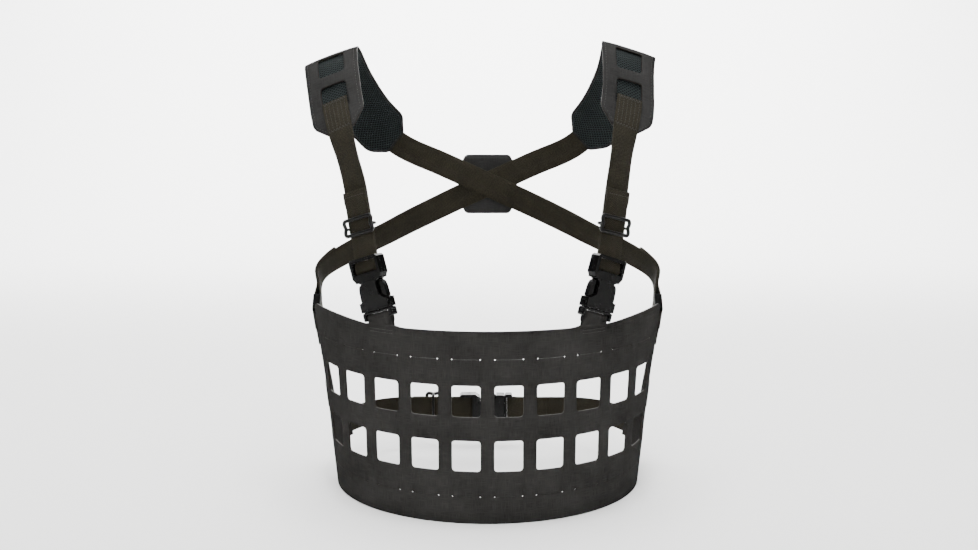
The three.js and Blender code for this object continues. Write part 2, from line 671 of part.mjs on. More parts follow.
function shoulderStrap(name, side, buckle, ladder) {
  const foot = inFrame(buckle, 0, BUCKLE_WEB_BAR + 4);
  const tilt = side * radians(STRAP_TILT[name]);
  const strap = strapFrame(foot, side * radians(BUCKLE_YAW), radians(STRAP_LEAN), tilt);
  const points = [0, STRAIGHT / 2, STRAIGHT].map((z) => inFrame(strap, 0, z));
  for (const [x, y, z] of [...SHOULDER[name], ...BACK]) points.push(vec(side * x, y, PANEL_HEIGHT + z));
  for (const z of [60, 30, LADDER_LENGTH]) points.push(inFrame(ladder, 0, z));
  const curve = new THREE.CatmullRomCurve3(points, false, 'centripetal');
  curve.arcLengthDivisions = 800;
  const outward = (frame) => frame.back.clone().negate();
  const route = makeRoute(curve, outward(strap), outward(ladder));
  const padStart = STRAIGHT + PAD_START;
  const web = (stations) => ribbon(stations, WEB, WEB_THICKNESS);
  const onStrap = (z, n) => ({ point: inFrame(strap, n, z), across: strap.side });

  const down = stationsAlong(route, padStart + PAD_OVERLAP, STRAIGHT + 4, 5, () => -LAYER);
  const turn = halfTurn(buckle, BUCKLE_WEB_BAR, BAR_TURN, -1);
  const front = [
    ...down,
    onStrap(STRAIGHT - 6, -LAYER),
    onStrap(3.5, -LAYER),
    ...turn,
    onStrap(3.5, LAYER),
    onStrap(HEM_FROM_BAR - 4, LAYER),
  ];
  addMesh(`${name}_front_webbing`, web(front), 'webbing');
  const sliderOrigin = inFrame(strap, 0, SLIDER_FROM_BAR - 4);
  addMesh(`${name}_slider`, slider(), 'plastic', { ...strap, origin: sliderOrigin });

  const cover = {
    length: PAD_LENGTH,
    width: PAD_WIDTH,
    chamfer: PAD_CHAMFER,
    windows: true,
    thickness: LAMINATE,
    offset: COVER_OFFSET,
  };
  const mesh = {
    length: PAD_LENGTH - 6,
    width: PAD_WIDTH - 6,
    chamfer: PAD_CHAMFER - 2,
    windows: false,
    thickness: PAD_MESH,
    offset: MESH_OFFSET,
  };
  addMesh(`${name}_pad_cover`, padSheet(route, padStart, cover), 'padCover');
  addMesh(`${name}_pad_mesh`, padSheet(route, padStart, mesh), 'mesh');

  const padEnd = padStart + PAD_LENGTH;
  const crossing = crossingAt(route);
  const lift = (side * (WEB_THICKNESS + CROSS_GAP)) / 2;
  const mainOffset = (s) => -LAYER + lift * (1 - smooth(Math.abs(s - crossing), WEB * 0.8, WEB * 2.4));
  const lockStart = route.length - 12;
  const onPad = stationsAlong(route, padEnd - PAD_OVERLAP, padEnd, 5, mainOffset);
  const main = [...onPad, ...stationsAlong(route, padEnd + 9, lockStart, 9, mainOffset)];
  const across = ladder.side.clone().negate();
  const atLock = (z, n) => ({ point: inFrame(ladder, n, z), across });
  const lockTurn = halfTurn(ladder, LADDER_WEB_BAR, LADDER_TURN, -1).map(({ point }) => ({ point, across }));
  const tail = stationsAlong(route, lockStart - 2, route.length - 66, 10, () => LAYER);
  const intoLock = atLock(LADDER_LENGTH + 1, -LADDER_TURN);
  const outOfLock = atLock(LADDER_LENGTH + 1, LADDER_TURN);
  const rear = [...main, intoLock, ...lockTurn, outOfLock, ...tail];
  addMesh(`${name}_rear_webbing`, web(rear), 'webbing');
}

// where a strap passes behind the middle of the back
function crossingAt(route) {
  let best = 0;
  for (let s = route.length / 3; s < route.length; s += 1) {
    if (Math.abs(route.at(s).point.x) < Math.abs(route.at(best).point.x)) best = s;
  }
  return best;
}

// ---------------------------------------------------------------- waist strap

// its run from the panel's tongue round to the straight run behind the back
function waistCurve(side) {
  const sewn = WEB_THICKNESS / 2 + LAMINATE / 2 + GAP;
  const ruling = (u) => {
    const low = panelPoint(u, WAIST_HEIGHT - WEB / 2);
    return low.sub(panelPoint(u, WAIST_HEIGHT + WEB / 2)).normalize();
  };
  const onTongue = [-6, 0, 6, TONGUE_LENGTH / 2, TONGUE_LENGTH - 5, TONGUE_LENGTH].map((past) => {
    const u = side * (REAR_LINE + past);
    return { point: panelPoint(u, WAIST_HEIGHT, sewn), across: ruling(u) };
  });
  const end = onTongue[onTongue.length - 1].point;
  const angle = panelAngle(TONGUE_END, WAIST_HEIGHT);
  const leave = vec(side * Math.cos(angle), Math.sin(angle), 0);
  const straight = vec(side * BACK_STRAIGHT, BACK_DEPTH, WAIST_HEIGHT);
  const reach = end.distanceTo(straight) * 0.4;
  const bend = new THREE.CubicBezierCurve3(
    end,
    end.clone().addScaledVector(leave, reach),
    straight.clone().add(vec(side * reach, 0, 0)),
    straight,
  );
  const twist = (t) => ruling(side * TONGUE_END).lerp(vec(0, 0, -1), t).normalize();
  const shares = [0.15, 0.3, 0.45, 0.6, 0.7, 0.8, 0.9, 1];
  const free = shares.map((t) => ({ point: bend.getPoint(t), across: twist(t) }));
  return [...onTongue, ...free];
}

function waist() {
  const up = vec(0, 0, 1);
  const start = vec(24, BACK_DEPTH, WAIST_HEIGHT);
  const buckle = { origin: start, along: vec(-1, 0, 0), back: vec(0, -1, 0), side: vec(0, 0, -1) };
  addBuckle('waist', buckle);

  const leftTurn = TAB_BAR_RADIUS + GAP + WEB_THICKNESS / 2;
  const left = [
    ...waistCurve(1),
    { point: inFrame(buckle, 0.1, -12), across: buckle.side },
    ...halfTurn(buckle, 0, leftTurn, 1, 8, 1),
    { point: inFrame(buckle, -2 * LAYER - 0.1, -12), across: buckle.side },
    { point: inFrame(buckle, -2 * LAYER, -40), across: buckle.side },
  ];
  addMesh('waist_webbing_left', ribbon(left, WEB, WEB_THICKNESS), 'webbing');

  const onRun = (n, z) => ({ point: inFrame(buckle, n, BUCKLE_WEB_BAR + z), across: buckle.side });
  const right = [
    ...waistCurve(-1),
    onRun(-LAYER, HEM_FROM_BAR - 8),
    onRun(-LAYER, 9.5),
    ...halfTurn(buckle, BUCKLE_WEB_BAR, BAR_TURN, -1),
    onRun(LAYER, 9.5),
    onRun(LAYER, HEM_FROM_BAR - 12),
  ];
  addMesh('waist_webbing_right', ribbon(right, WEB, WEB_THICKNESS), 'webbing');
  const sliderOrigin = inFrame(buckle, 0, BUCKLE_WEB_BAR + SLIDER_FROM_BAR);
  addMesh('waist_slider', slider(), 'plastic', { ...buckle, origin: sliderOrigin });
}

// ---------------------------------------------------------------- the vest

const loops = [];
const REAR_EDGE = topEdge(REAR_TAB_AT, REAR_TAB_AT);
const ladders = {};
const buckles = {};
for (const [name, side] of [['right', -1], ['left', 1]]) {
  const yaw = panelAngle(REAR_TAB_AT, REAR_EDGE);
  const [turn, lean, tilt] = [BUCKLE_YAW, BUCKLE_LEAN, BUCKLE_TILT].map(radians);
  buckles[name] = tabFrame(side, FRONT_TAB_AT, PANEL_HEIGHT, FRONT_TAB_RISE, 1, turn, lean, tilt);
  ladders[name] = tabFrame(side, REAR_TAB_AT, REAR_EDGE, REAR_TAB_RISE, -1, yaw, 0, radians(LADDER_TILT));
  const frontDown = { length: FRONT_TAB_RISE + 4, u: side * FRONT_TAB_AT, v: PANEL_HEIGHT - 9 };
  loops.push(tabLoop(buckles[name], side * FRONT_TAB_AT, PANEL_HEIGHT, 1, frontDown));
  const back = (REAR_TAB_RISE + 9) * 0.6;
  const rearDown = { length: REAR_TAB_RISE + 2, u: side * (REAR_TAB_AT - back), v: REAR_EDGE - back };
  loops.push(tabLoop(ladders[name], side * REAR_TAB_AT, REAR_EDGE, -1, rearDown));
}
addMesh('front_panel', makePanel(loops), 'laminate');
for (const [name, side] of [['right', -1], ['left', 1]]) {
  const other = name === 'right' ? 'left' : 'right';
  addBuckle(name, buckles[name]);
  addMesh(`${name}_ladder_lock`, ladderLock(), 'plastic', ladders[name]);
  shoulderStrap(name, side, buckles[name], ladders[other]);
}

const patchBehind = -LAYER + CROSS_GAP / 2 + WEB_THICKNESS * 1.5 + 2 * GAP + LAMINATE / 2;
const patchFrame = {
  origin: vec(0, BACK[2][1] + patchBehind, PANEL_HEIGHT + BACK[2][2]),
  side: vec(-1, 0, 0),
  back: vec(0, -1, 0),
  along: vec(0, 0, 1),
};
const patchHalf = CROSS_PATCH / 2;
const patchCorners = [
  [patchHalf * 0.75, -patchHalf],
  [patchHalf, -patchHalf * 0.5],
  [patchHalf, patchHalf * 0.5],
  [patchHalf * 0.75, patchHalf],
];
const patch = plate(bothSides(patchCorners), [-LAMINATE / 2, LAMINATE / 2]);
addMesh('back_cross_patch', geometryOf(patch), 'padCover', patchFrame);
waist();

export default vest;
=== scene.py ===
# %% [markdown]
# # A laser-cut chest harness vest
# The vest is a stiff laminated panel with rows of square windows, bent round the front of the torso. Two
# shoulder straps climb from side-release buckles, pass under long pads, cross behind the back and come
# down to locks at the panel's rear corners. A waist strap closes the ring behind.
#
# The hard parts have already been packed as a fixed frame, so this lesson starts by loading them. Every
# shape below is drawn in millimetres, as a maker would, and scaled to metres when it is finished.

# %% Load the frame
import json
import math

import bmesh
import bpy
from mathutils import Matrix, Vector


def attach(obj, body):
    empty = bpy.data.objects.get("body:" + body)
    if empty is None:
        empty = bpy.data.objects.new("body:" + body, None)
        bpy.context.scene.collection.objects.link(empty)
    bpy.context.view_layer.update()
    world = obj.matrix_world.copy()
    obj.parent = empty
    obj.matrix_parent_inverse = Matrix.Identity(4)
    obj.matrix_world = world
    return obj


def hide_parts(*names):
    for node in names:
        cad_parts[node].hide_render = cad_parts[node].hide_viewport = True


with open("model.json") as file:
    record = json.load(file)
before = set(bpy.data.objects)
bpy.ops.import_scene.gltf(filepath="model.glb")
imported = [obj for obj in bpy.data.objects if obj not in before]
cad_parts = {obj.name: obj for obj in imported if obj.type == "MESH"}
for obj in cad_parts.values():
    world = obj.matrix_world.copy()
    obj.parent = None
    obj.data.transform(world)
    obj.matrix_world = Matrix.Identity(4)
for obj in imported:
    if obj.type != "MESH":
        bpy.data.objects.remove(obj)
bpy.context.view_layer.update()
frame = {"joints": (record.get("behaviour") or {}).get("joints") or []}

# %% [markdown]
# ## The camera
# The camera stands a little over a metre in front of the chest and looks slightly down. It comes first,
# because every later choice of detail depends on how large a millimetre is in the picture.

# %% Camera
camera = bpy.data.objects.new("camera", bpy.data.cameras.new("camera"))
bpy.context.scene.collection.objects.link(camera)
camera.location = (0, -1.077, 0.406)
camera.rotation_euler = (math.pi / 2 - 0.1866, 0, 0)
camera.data.lens = 40.9
camera.data.sensor_width = 36
camera.data.shift_x = 0.0015
camera.data.clip_start = 0.01
bpy.context.scene.camera = camera
print("camera", tuple(round(c, 3) for c in camera.location))

# %% [markdown]
# ## The studio
# Black cloth and glossy black plastic only read against light surroundings. A pale floor that curves up
# into a wall has no horizon line, and a row of large soft boxes gives the buckles long, narrow highlights.
# A bare sun would leave hard shadows and small sparks instead.

# %% Backdrop: one sheet, swept up behind the vest
def backdrop():
    bm = bmesh.new()
    start = [bm.verts.new((x, -2.2, 0)) for x in (-3.5, 3.5)]
    edge = bm.edges.new(start)
    path = [(y, 0) for y in (0.4, 1.2)]
    turns = [i * math.pi / 24 for i in range(1, 13)]
    path += [(1.2 + 1.1 * math.sin(a), 1.1 - 1.1 * math.cos(a)) for a in turns]
    path += [(2.3, 3.6)]
    for y, z in path:
        made = bmesh.ops.extrude_edge_only(bm, edges=[edge])["geom"]
        edge = next(g for g in made if isinstance(g, bmesh.types.BMEdge) and all(v in made for v in g.verts))
        for v in edge.verts:
            v.co.y, v.co.z = y, z
    bmesh.ops.translate(bm, verts=bm.verts, vec=(0, 0, -0.0008))
    bmesh.ops.recalc_face_normals(bm, faces=bm.faces)
    mesh = bpy.data.meshes.new("backdrop")
    bm.to_mesh(mesh)
    bm.free()
    mesh.shade_smooth()
    obj = bpy.data.objects.new("backdrop", mesh)
    bpy.context.scene.collection.objects.link(obj)
    return obj


floor = backdrop()
paper = bpy.data.materials.new("backdrop_paper")
paper.use_nodes = True
paper.node_tree.nodes["Principled BSDF"].inputs["Base Color"].default_value = (0.86, 0.86, 0.855, 1)
paper.node_tree.nodes["Principled BSDF"].inputs["Roughness"].default_value = 0.9
paper.node_tree.nodes["Principled BSDF"].inputs["Specular IOR Level"].default_value = 0.1
floor.data.materials.append(paper)
print("backdrop faces", len(floor.data.polygons))

# %% Lights: soft boxes round the vest
def soft_box(name, place, aim, size, power, spread=180):
    light = bpy.data.lights.new(name, "AREA")
    light.shape = "RECTANGLE"
    light.size, light.size_y = size
    light.energy = power
    light.spread = math.radians(spread)
    obj = bpy.data.objects.new(name, light)
    obj.location = place
    obj.rotation_euler = (Vector(aim) - Vector(place)).to_track_quat("-Z", "Y").to_euler()
    bpy.context.scene.collection.objects.link(obj)
    print(name, power)


middle = (0, -0.05, 0.2)
soft_box("key_box", (-0.5, -1.9, 1.7), middle, (0.9, 0.7), 46)
soft_box("fill_box", (0.9, -1.8, 0.9), middle, (0.35, 1.2), 13)
soft_box("top_box", (0, -0.5, 2.2), middle, (2.0, 1.2), 40)
soft_box("left_rim", (-1.5, 0.9, 1.0), middle, (0.06, 0.9), 2.2)
soft_box("right_rim", (1.5, 0.9, 1.0), middle, (0.06, 0.9), 2.2)
soft_box("wall_box", (0, 0.9, 2.5), (0, 2.7, 0.7), (3.6, 0.7), 230, 105)
soft_box("floor_box", (0, 0.9, 3.0), (0, 0.9, 0), (3.6, 2.4), 60, 60)

# %% A pale room that lights the vest less from the camera's side, so that gloss stays black
room = bpy.data.worlds.new("white_room")
bpy.context.scene.world = room
room.use_nodes = True
room_nodes, room_links = room.node_tree.nodes, room.node_tree.links
room_nodes["Background"].inputs["Color"].default_value = (1, 1, 1, 1)
direction = room_nodes.new("ShaderNodeTexCoord")
parts = room_nodes.new("ShaderNodeSeparateXYZ")
share = room_nodes.new("ShaderNodeMapRange")
share.interpolation_type = "SMOOTHSTEP"
share.inputs["From Min"].default_value = -0.3
share.inputs["From Max"].default_value = 0.9
share.inputs["To Min"].default_value = 0.015
share.inputs["To Max"].default_value = 0.04
room_links.new(direction.outputs["Generated"], parts.inputs["Vector"])
room_links.new(parts.outputs["Y"], share.inputs["Value"])
kind = room_nodes.new("ShaderNodeLightPath")
seen = room_nodes.new("ShaderNodeMix")
seen.inputs["B"].default_value = 0.9
room_links.new(kind.outputs["Is Camera Ray"], seen.inputs["Factor"])
room_links.new(share.outputs["Result"], seen.inputs["A"])
room_links.new(seen.outputs["Result"], room_nodes["Background"].inputs["Strength"])
print("world", room.name)

# %% [markdown]
# ## Finishes
# Each finish is a small node tree. The cloth finishes read the piece's own UV map, which is in millimetres
# of flat cloth, so a yarn keeps its size round every bend. The moulded ones read Object coordinates.

# %% A helper for node trees
class Finish:
    """One material, and short ways to add and join its nodes."""

    def __init__(self, name, colour, roughness, specular=0.5):
        self.material = bpy.data.materials.new(name)
        self.material.use_nodes = True
        self.material.diffuse_color = (*colour, 1)
        self.tree = self.material.node_tree
        self.shader = self.tree.nodes["Principled BSDF"]
        self.shader.inputs["Base Color"].default_value = (*colour, 1)
        self.shader.inputs["Roughness"].default_value = roughness
        self.shader.inputs["Specular IOR Level"].default_value = specular

    def add(self, kind, settings=None, **inputs):
        node = self.tree.nodes.new(f"ShaderNode{kind}")
        for key, value in (settings or {}).items():
            setattr(node, key, value)
        for key, value in inputs.items():
            socket = node.inputs[int(key[1:])] if key[0] == "i" and key[1:].isdigit() else node.inputs[key]
            if isinstance(value, bpy.types.NodeSocket):
                self.tree.links.new(value, socket)
            else:
                socket.default_value = value
        return node

    def math(self, operation, a, b=0.0, c=0.0):
        return self.add("Math", {"operation": operation}, i0=a, i1=b, i2=c).outputs[0]

    def ramp(self, value, stops):
        node = self.add("ValToRGB", Fac=value)
        elements = node.color_ramp.elements
        while len(elements) < len(stops):
            elements.new(0.5)
        for element, (at, colour) in zip(elements, stops):
            element.position = at
            element.color = (*colour, 1)
        return node.outputs["Color"]

    def flat(self):
        """The two flat coordinates of the cloth, in millimetres, and the whole vector."""
        vector = self.add("UVMap", {"uv_map": "flat"}).outputs["UV"]
        split = self.add("SeparateXYZ", Vector=vector)
        return split.outputs["X"], split.outputs["Y"], vector

    def noise(self, vector, scale, detail=2.0, stretch=(1, 1, 1), roughness=0.5):
        mapped = self.add("Mapping", Vector=vector, Scale=stretch).outputs["Vector"]
        made = self.add("TexNoise", Vector=mapped, Scale=scale, Detail=detail, Roughness=roughness)
        return made.outputs["Fac"]

    def mix(self, factor, a, b):
        node = self.add("Mix", {"data_type": "RGBA"}, i0=factor)
        for socket, value in ((node.inputs[6], a), (node.inputs[7], b)):
            if isinstance(value, bpy.types.NodeSocket):
                self.tree.links.new(value, socket)
            else:
                socket.default_value = (*value, 1)
        return node.outputs[2]

    def join(self, socket, value):
        self.tree.links.new(value, self.shader.inputs[socket])

    def bump(self, height, strength, distance):
        node = self.add("Bump", Height=height, Strength=strength, Distance=distance)
        self.join("Normal", node.outputs["Normal"])


# %% [markdown]
# ### The laminate
# Two layers of nylon cloth are glued back to back, so the sheet is stiff and matt, with a fine square
# weave and slubs: yarns that swell and thin along their length and catch the light as short streaks in
# both directions. Crossed sine waves give the weave, and two noises stretched along and across give the
# slubs. A woven image would repeat and blur, which these don't.

# %% Laminate
def laminate(name, low, high, brown=0.0):
    finish = Finish(name, high, 0.82, 0.0)
    u, v, flat = finish.flat()
    warp = finish.math("SINE", finish.math("MULTIPLY", u, 2 * math.pi / 0.95))
    weft = finish.math("SINE", finish.math("MULTIPLY", v, 2 * math.pi / 0.95))
    weave = finish.math("MULTIPLY", warp, weft)
    along = finish.noise(flat, 1.0, 3, (0.09, 1.9, 1))
    across = finish.noise(flat, 1.0, 3, (1.9, 0.09, 1))
    slub = finish.math("MAXIMUM", along, across)
    cloud = finish.noise(flat, 0.02, 3)
    tone = finish.math("MULTIPLY_ADD", weave, 0.09, slub)
    tone = finish.math("MULTIPLY_ADD", cloud, 0.55, finish.math("MULTIPLY", tone, 0.8))
    finish.join("Base Color", finish.ramp(tone, [(0.45, low), (0.62, high), (0.9, [c * 1.6 for c in high])]))
    finish.join("Roughness", finish.math("MULTIPLY_ADD", slub, -0.25, 0.95))
    height = finish.math("MULTIPLY_ADD", weave, 0.35, finish.math("MULTIPLY", slub, 1.2))
    finish.bump(height, 0.5, 0.0003)
    finish.shader.inputs["Sheen Weight"].default_value = 0.003
    finish.shader.inputs["Sheen Roughness"].default_value = 0.4
    return finish.material


panel_cloth = laminate("charcoal_laminate", (0.0086, 0.0084, 0.0080), (0.0196, 0.0191, 0.0182))
pad_cloth = laminate("grey_laminate", (0.0090, 0.0090, 0.0089), (0.0190, 0.0188, 0.0184))
print(panel_cloth.name, pad_cloth.name)

# %% Cut edge: the laser melts the nylon to a thin brown bead
cut_edge_finish = Finish("melted_edge", (0.02, 0.014, 0.010), 0.6, 0.15)
edge_place = cut_edge_finish.add("TexCoord").outputs["Object"]
edge_noise = cut_edge_finish.noise(edge_place, 900, 3)
cut_edge_finish.join(
    "Base Color",
    cut_edge_finish.ramp(
        edge_noise,
        [(0.35, (0.005, 0.0042, 0.0036)), (0.6, (0.013, 0.0095, 0.007)), (0.8, (0.03, 0.022, 0.015))],
    ),
)
cut_edge_finish.bump(edge_noise, 0.6, 0.0002)
cut_edge = cut_edge_finish.material
print(cut_edge.name)

# %% [markdown]
# ### The webbing
# Nylon webbing has ribs across it where the weft passes under the warp. Its two faces differ: one shows a
# fine plain rib, and the other slants in a herringbone, because the strap is woven as a twill. The same
# strap shows one face above its fold round a buckle's bar and the other face below, so it needs two
# materials on one mesh rather than two straps.

# %% Webbing, one material for each face
def webbing(name, twill):
    low, high = (0.0058, 0.0049, 0.0026), (0.0172, 0.0147, 0.0085)
    finish = Finish(name, high, 0.8, 0.14)
    u, v, flat = finish.flat()
    if twill:
        slant = finish.math("PINGPONG", u, 6.25)
        across = finish.math("MULTIPLY_ADD", slant, 0.9, v)
        rib = finish.math("SINE", finish.math("MULTIPLY", across, 2 * math.pi / 1.9))
        yarn = finish.math("SINE", finish.math("MULTIPLY", u, 2 * math.pi / 0.8))
    else:
        rib = finish.math("SINE", finish.math("MULTIPLY", v, 2 * math.pi / 1.15))
        yarn = finish.math("SINE", finish.math("MULTIPLY", u, 2 * math.pi / 1.0))
    grain = finish.noise(flat, 1.0, 2, (0.8, 0.8, 1))
    wear = finish.noise(flat, 0.05, 3)
    weave = finish.math("MULTIPLY_ADD", yarn, 0.45, rib)
    tone = finish.math("MULTIPLY_ADD", wear, 0.35, finish.math("MULTIPLY", grain, 0.75))
    tone = finish.math("MULTIPLY_ADD", weave, 0.14, tone)
    finish.join("Base Color", finish.ramp(tone, [(0.3, low), (0.62, high), (0.95, [c * 1.7 for c in high])]))
    finish.join("Roughness", finish.math("MULTIPLY_ADD", grain, -0.3, 0.92))
    finish.bump(finish.math("MULTIPLY_ADD", grain, 0.4, weave), 0.55, 0.0004)
    finish.shader.inputs["Sheen Weight"].default_value = 0.012
    finish.shader.inputs["Sheen Roughness"].default_value = 0.4
    return finish.material


rib_webbing = webbing("webbing_rib", twill=False)
twill_webbing = webbing("webbing_twill", twill=True)
print(rib_webbing.name, twill_webbing.name)

# %% [markdown]
# ### The spacer mesh
# The pads are filled with a knitted spacer mesh: two open nets held apart by fine threads. Its holes sit in
# a honeycomb. Distances to two square lattices, one shifted by half a step, give that honeycomb exactly,
# where a Voronoi texture would need its points skewed.
# The holes are painted near black as painted shade for the depth under the top net, and bright yarn patches
# are painted highlights over the yarn's random tone.

# %% Spacer mesh
def spacer_mesh(name):
    finish = Finish(name, (0.008, 0.011, 0.013), 0.75, 0.08)
    u, v, flat = finish.flat()
    step, rise = 3.1, 3.1 * 1.25
    x = finish.math("PINGPONG", u, step / 2)
    y = finish.math("PINGPONG", v, rise / 2)

    def length(a, b):
        squares = finish.math("ADD", finish.math("MULTIPLY", a, a), finish.math("MULTIPLY", b, b))
        return finish.math("SQRT", squares)

    near = length(x, y)
    x2 = finish.math("SUBTRACT", step / 2, x)
    y2 = finish.math("SUBTRACT", rise / 2, y)
    far = length(x2, y2)
    distance = finish.math("MINIMUM", near, far)
    # 1 on the yarn of the net and 0 in its holes; the hole colour below is painted shade.
    net_outside_hole_shade = finish.add(
        "MapRange", {"interpolation_type": "SMOOTHSTEP"}, Value=distance, i1=0.62, i2=1.05, i3=0.0, i4=1.0
    ).outputs["Result"]
    thread = finish.noise(flat, 1.0, 2, (2.6, 2.6, 1))
    # Painted highlight on the yarn: where this noise is high the yarn is painted bright, over its random
    # dark tone.
    yarn_highlight_share = finish.math("MULTIPLY_ADD", thread, 1.6, -0.35)
    yarn_tone_and_highlight = finish.mix(yarn_highlight_share, (0.0026, 0.0035, 0.0037), (0.031, 0.040, 0.0395))
    # The holes are painted near black: painted shade for the depth under the top net.
    finish.join("Base Color", finish.mix(net_outside_hole_shade, (0.0012, 0.0018, 0.0022), yarn_tone_and_highlight))
    finish.bump(finish.math("MULTIPLY_ADD", thread, 0.25, net_outside_hole_shade), 0.9, 0.0008)
    finish.shader.inputs["Sheen Weight"].default_value = 0.004
    return finish.material


mesh_cloth = spacer_mesh("knitted_spacer")
print(mesh_cloth.name)

# %% [markdown]
# ### Moulded plastic
# The buckles are black acetal: almost a mirror at grazing angles, with a faint orange-peel from the mould
# and dull scuffs where they rub. A noise in the roughness makes the highlights break up as they do on a
# handled part.

# %% Plastics and thread
def moulded(name, colour, roughness, scuff):
    finish = Finish(name, colour, roughness, 0.14)
    place = finish.add("TexCoord").outputs["Object"]
    peel = finish.noise(place, 700, 2)
    scuffs = finish.noise(place, 160, 4, roughness=0.7)
    worn = finish.add("MapRange", Value=scuffs, i1=0.5, i2=0.75, i3=roughness, i4=roughness + scuff)
    finish.join("Roughness", worn.outputs["Result"])
    tint = finish.ramp(scuffs, [(0.4, colour), (0.72, [c * 2 + 0.001 for c in colour])])
    finish.join("Base Color", tint)
    finish.bump(finish.math("MULTIPLY_ADD", scuffs, 0.4, peel), 0.08, 0.00006)
    return finish.material


buckle_plastic = moulded("gloss_acetal", (0.0010, 0.0010, 0.0009), 0.2, 0.2)
lock_plastic = moulded("matt_acetal", (0.0024, 0.0024, 0.0023), 0.6, 0.2)
lock_plastic.node_tree.nodes["Principled BSDF"].inputs["Specular IOR Level"].default_value = 0.02
slider_plastic = moulded("satin_acetal", (0.0048, 0.0048, 0.0045), 0.3, 0.2)

thread_finish = Finish("thread", (0.03, 0.028, 0.026), 0.6, 0.4)
thread_place = thread_finish.add("TexCoord").outputs["Object"]
thread_tone = thread_finish.noise(thread_place, 1500, 1)
thread_tones = [(0.3, (0.006, 0.0055, 0.005)), (0.7, (0.016, 0.0145, 0.0125))]
thread_colour = thread_finish.ramp(thread_tone, thread_tones)
thread_finish.join("Base Color", thread_colour)
thread_cloth = thread_finish.material
print(buckle_plastic.name, slider_plastic.name, thread_cloth.name)

# %% [markdown]
# ## The shape of the sheet
# The panel is flat cloth bent one way. A point of the flat cloth is `u` millimetres from its middle and `v`
# above its bottom edge, and the angle through which the cloth has turned by then says where it has gone.
# Drawing everything flat first keeps windows, slits and stitches at their true sizes.

# %% The bent surface of the panel
PANEL_HEIGHT = 177.8
COLUMN_PITCH = 38.1
REAR_LINE = 244.0
TONGUE_END = 264.0
WAIST_HEIGHT = 42.0
TAB_AT = 98.5
REAR_TAB_AT = 234.0
SLOPE = math.tan(math.radians(50))
LAMINATE = 1.4


def mix(a, b, t):
    return a + (b - a) * t


def smooth(x, low, high):
    t = min(max((x - low) / (high - low), 0), 1)
    return t * t * (3 - 2 * t)


def panel_angle(u, v):
    t = v / PANEL_HEIGHT
    return mix(5.61e-3, 4.8e-3, t) * u + mix(3.71e-8, 2.93e-8, t) * u**3


def panel_point(u, v, out=0.0):
    steps = 16
    turns = [panel_angle(u * (i + 0.5) / steps, v) for i in range(steps)]
    x = sum(math.cos(a) for a in turns) * u / steps
    y = sum(math.sin(a) for a in turns) * u / steps
    angle = panel_angle(u, v)
    return Vector((x + math.sin(angle) * out, y - 135 - math.cos(angle) * out, v))


print("panel's rear edge", [round(c, 1) for c in panel_point(REAR_LINE, 60)])

# %% [markdown]
# A buckle, a lock and a strap each lie in a frame of their own: `along` runs up the strap, `back` points
# into the torso and `side` runs across. Writing positions in that frame is easier than turning finished
# meshes, which would also turn the patterns on them.

# %% Frames for the buckles, the locks and the straps
class Frame:
    def __init__(self, origin, along, back, side):
        self.origin, self.along, self.back, self.side = (Vector(p) for p in (origin, along, back, side))

    @classmethod
    def leaning(cls, yaw, lean, tilt):
        across = Vector((math.cos(yaw), math.sin(yaw), 0))
        outward = Vector((math.sin(yaw), -math.cos(yaw), 0))
        up = Vector((0, 0, math.cos(lean))) - outward * math.sin(lean)
        back = -outward * math.cos(lean) - Vector((0, 0, math.sin(lean)))
        along = up * math.cos(tilt) + across * math.sin(tilt)
        return cls((0, 0, 0), along, back, across * math.cos(tilt) - up * math.sin(tilt))

    def at(self, out, z, across=0.0):
        return self.origin + self.along * z - self.back * out + self.side * across

    def matrix(self):
        turn = Matrix((self.side, self.back, self.along)).transposed().to_4x4()
        return Matrix.Translation(self.origin) @ turn


TAB_TURN = 2.4
BUCKLE_YAW = math.radians(32.7)
REAR_CUT = 210.0
REAR_EDGE = PANEL_HEIGHT + 4.5 - SLOPE * (REAR_TAB_AT - REAR_CUT)
SIDES = {"right": -1, "left": 1}
STRAP_TILT = {"right": math.radians(17.5), "left": math.radians(15)}

buckles, ladders, straps = {}, {}, {}
for name, s in SIDES.items():
    buckle = Frame.leaning(s * BUCKLE_YAW, math.radians(2), s * math.radians(19))
    buckle.origin = panel_point(s * TAB_AT, PANEL_HEIGHT) + buckle.along * 9 + buckle.back * TAB_TURN
    ladder = Frame.leaning(s * panel_angle(REAR_TAB_AT, REAR_EDGE), 0, s * math.radians(50))
    ladder.origin = panel_point(s * REAR_TAB_AT, REAR_EDGE) + ladder.along * 9 - ladder.back * TAB_TURN
    strap = Frame.leaning(s * BUCKLE_YAW, math.radians(9), s * STRAP_TILT[name])
    strap.origin = buckle.at(0, 47)
    buckles[name], ladders[name], straps[name] = buckle, ladder, strap
waist_buckle = Frame((24, 76, WAIST_HEIGHT), (-1, 0, 0), (0, -1, 0), (0, 0, -1))
for name in SIDES:
    print(name, "buckle at", [round(c, 1) for c in buckles[name].origin])

# %% [markdown]
# ## Building from flat cloth
# A sheet starts as an outline with its holes, is filled once, and is then cut along evenly spaced lines so
# that it can bend. Its flat coordinates ride along in two vertex layers and become the UV map at the end.

# %% Helpers for sheets
def new_sheet():
    bm = bmesh.new()
    bm.verts.layers.float.new("u")
    bm.verts.layers.float.new("v")
    return bm


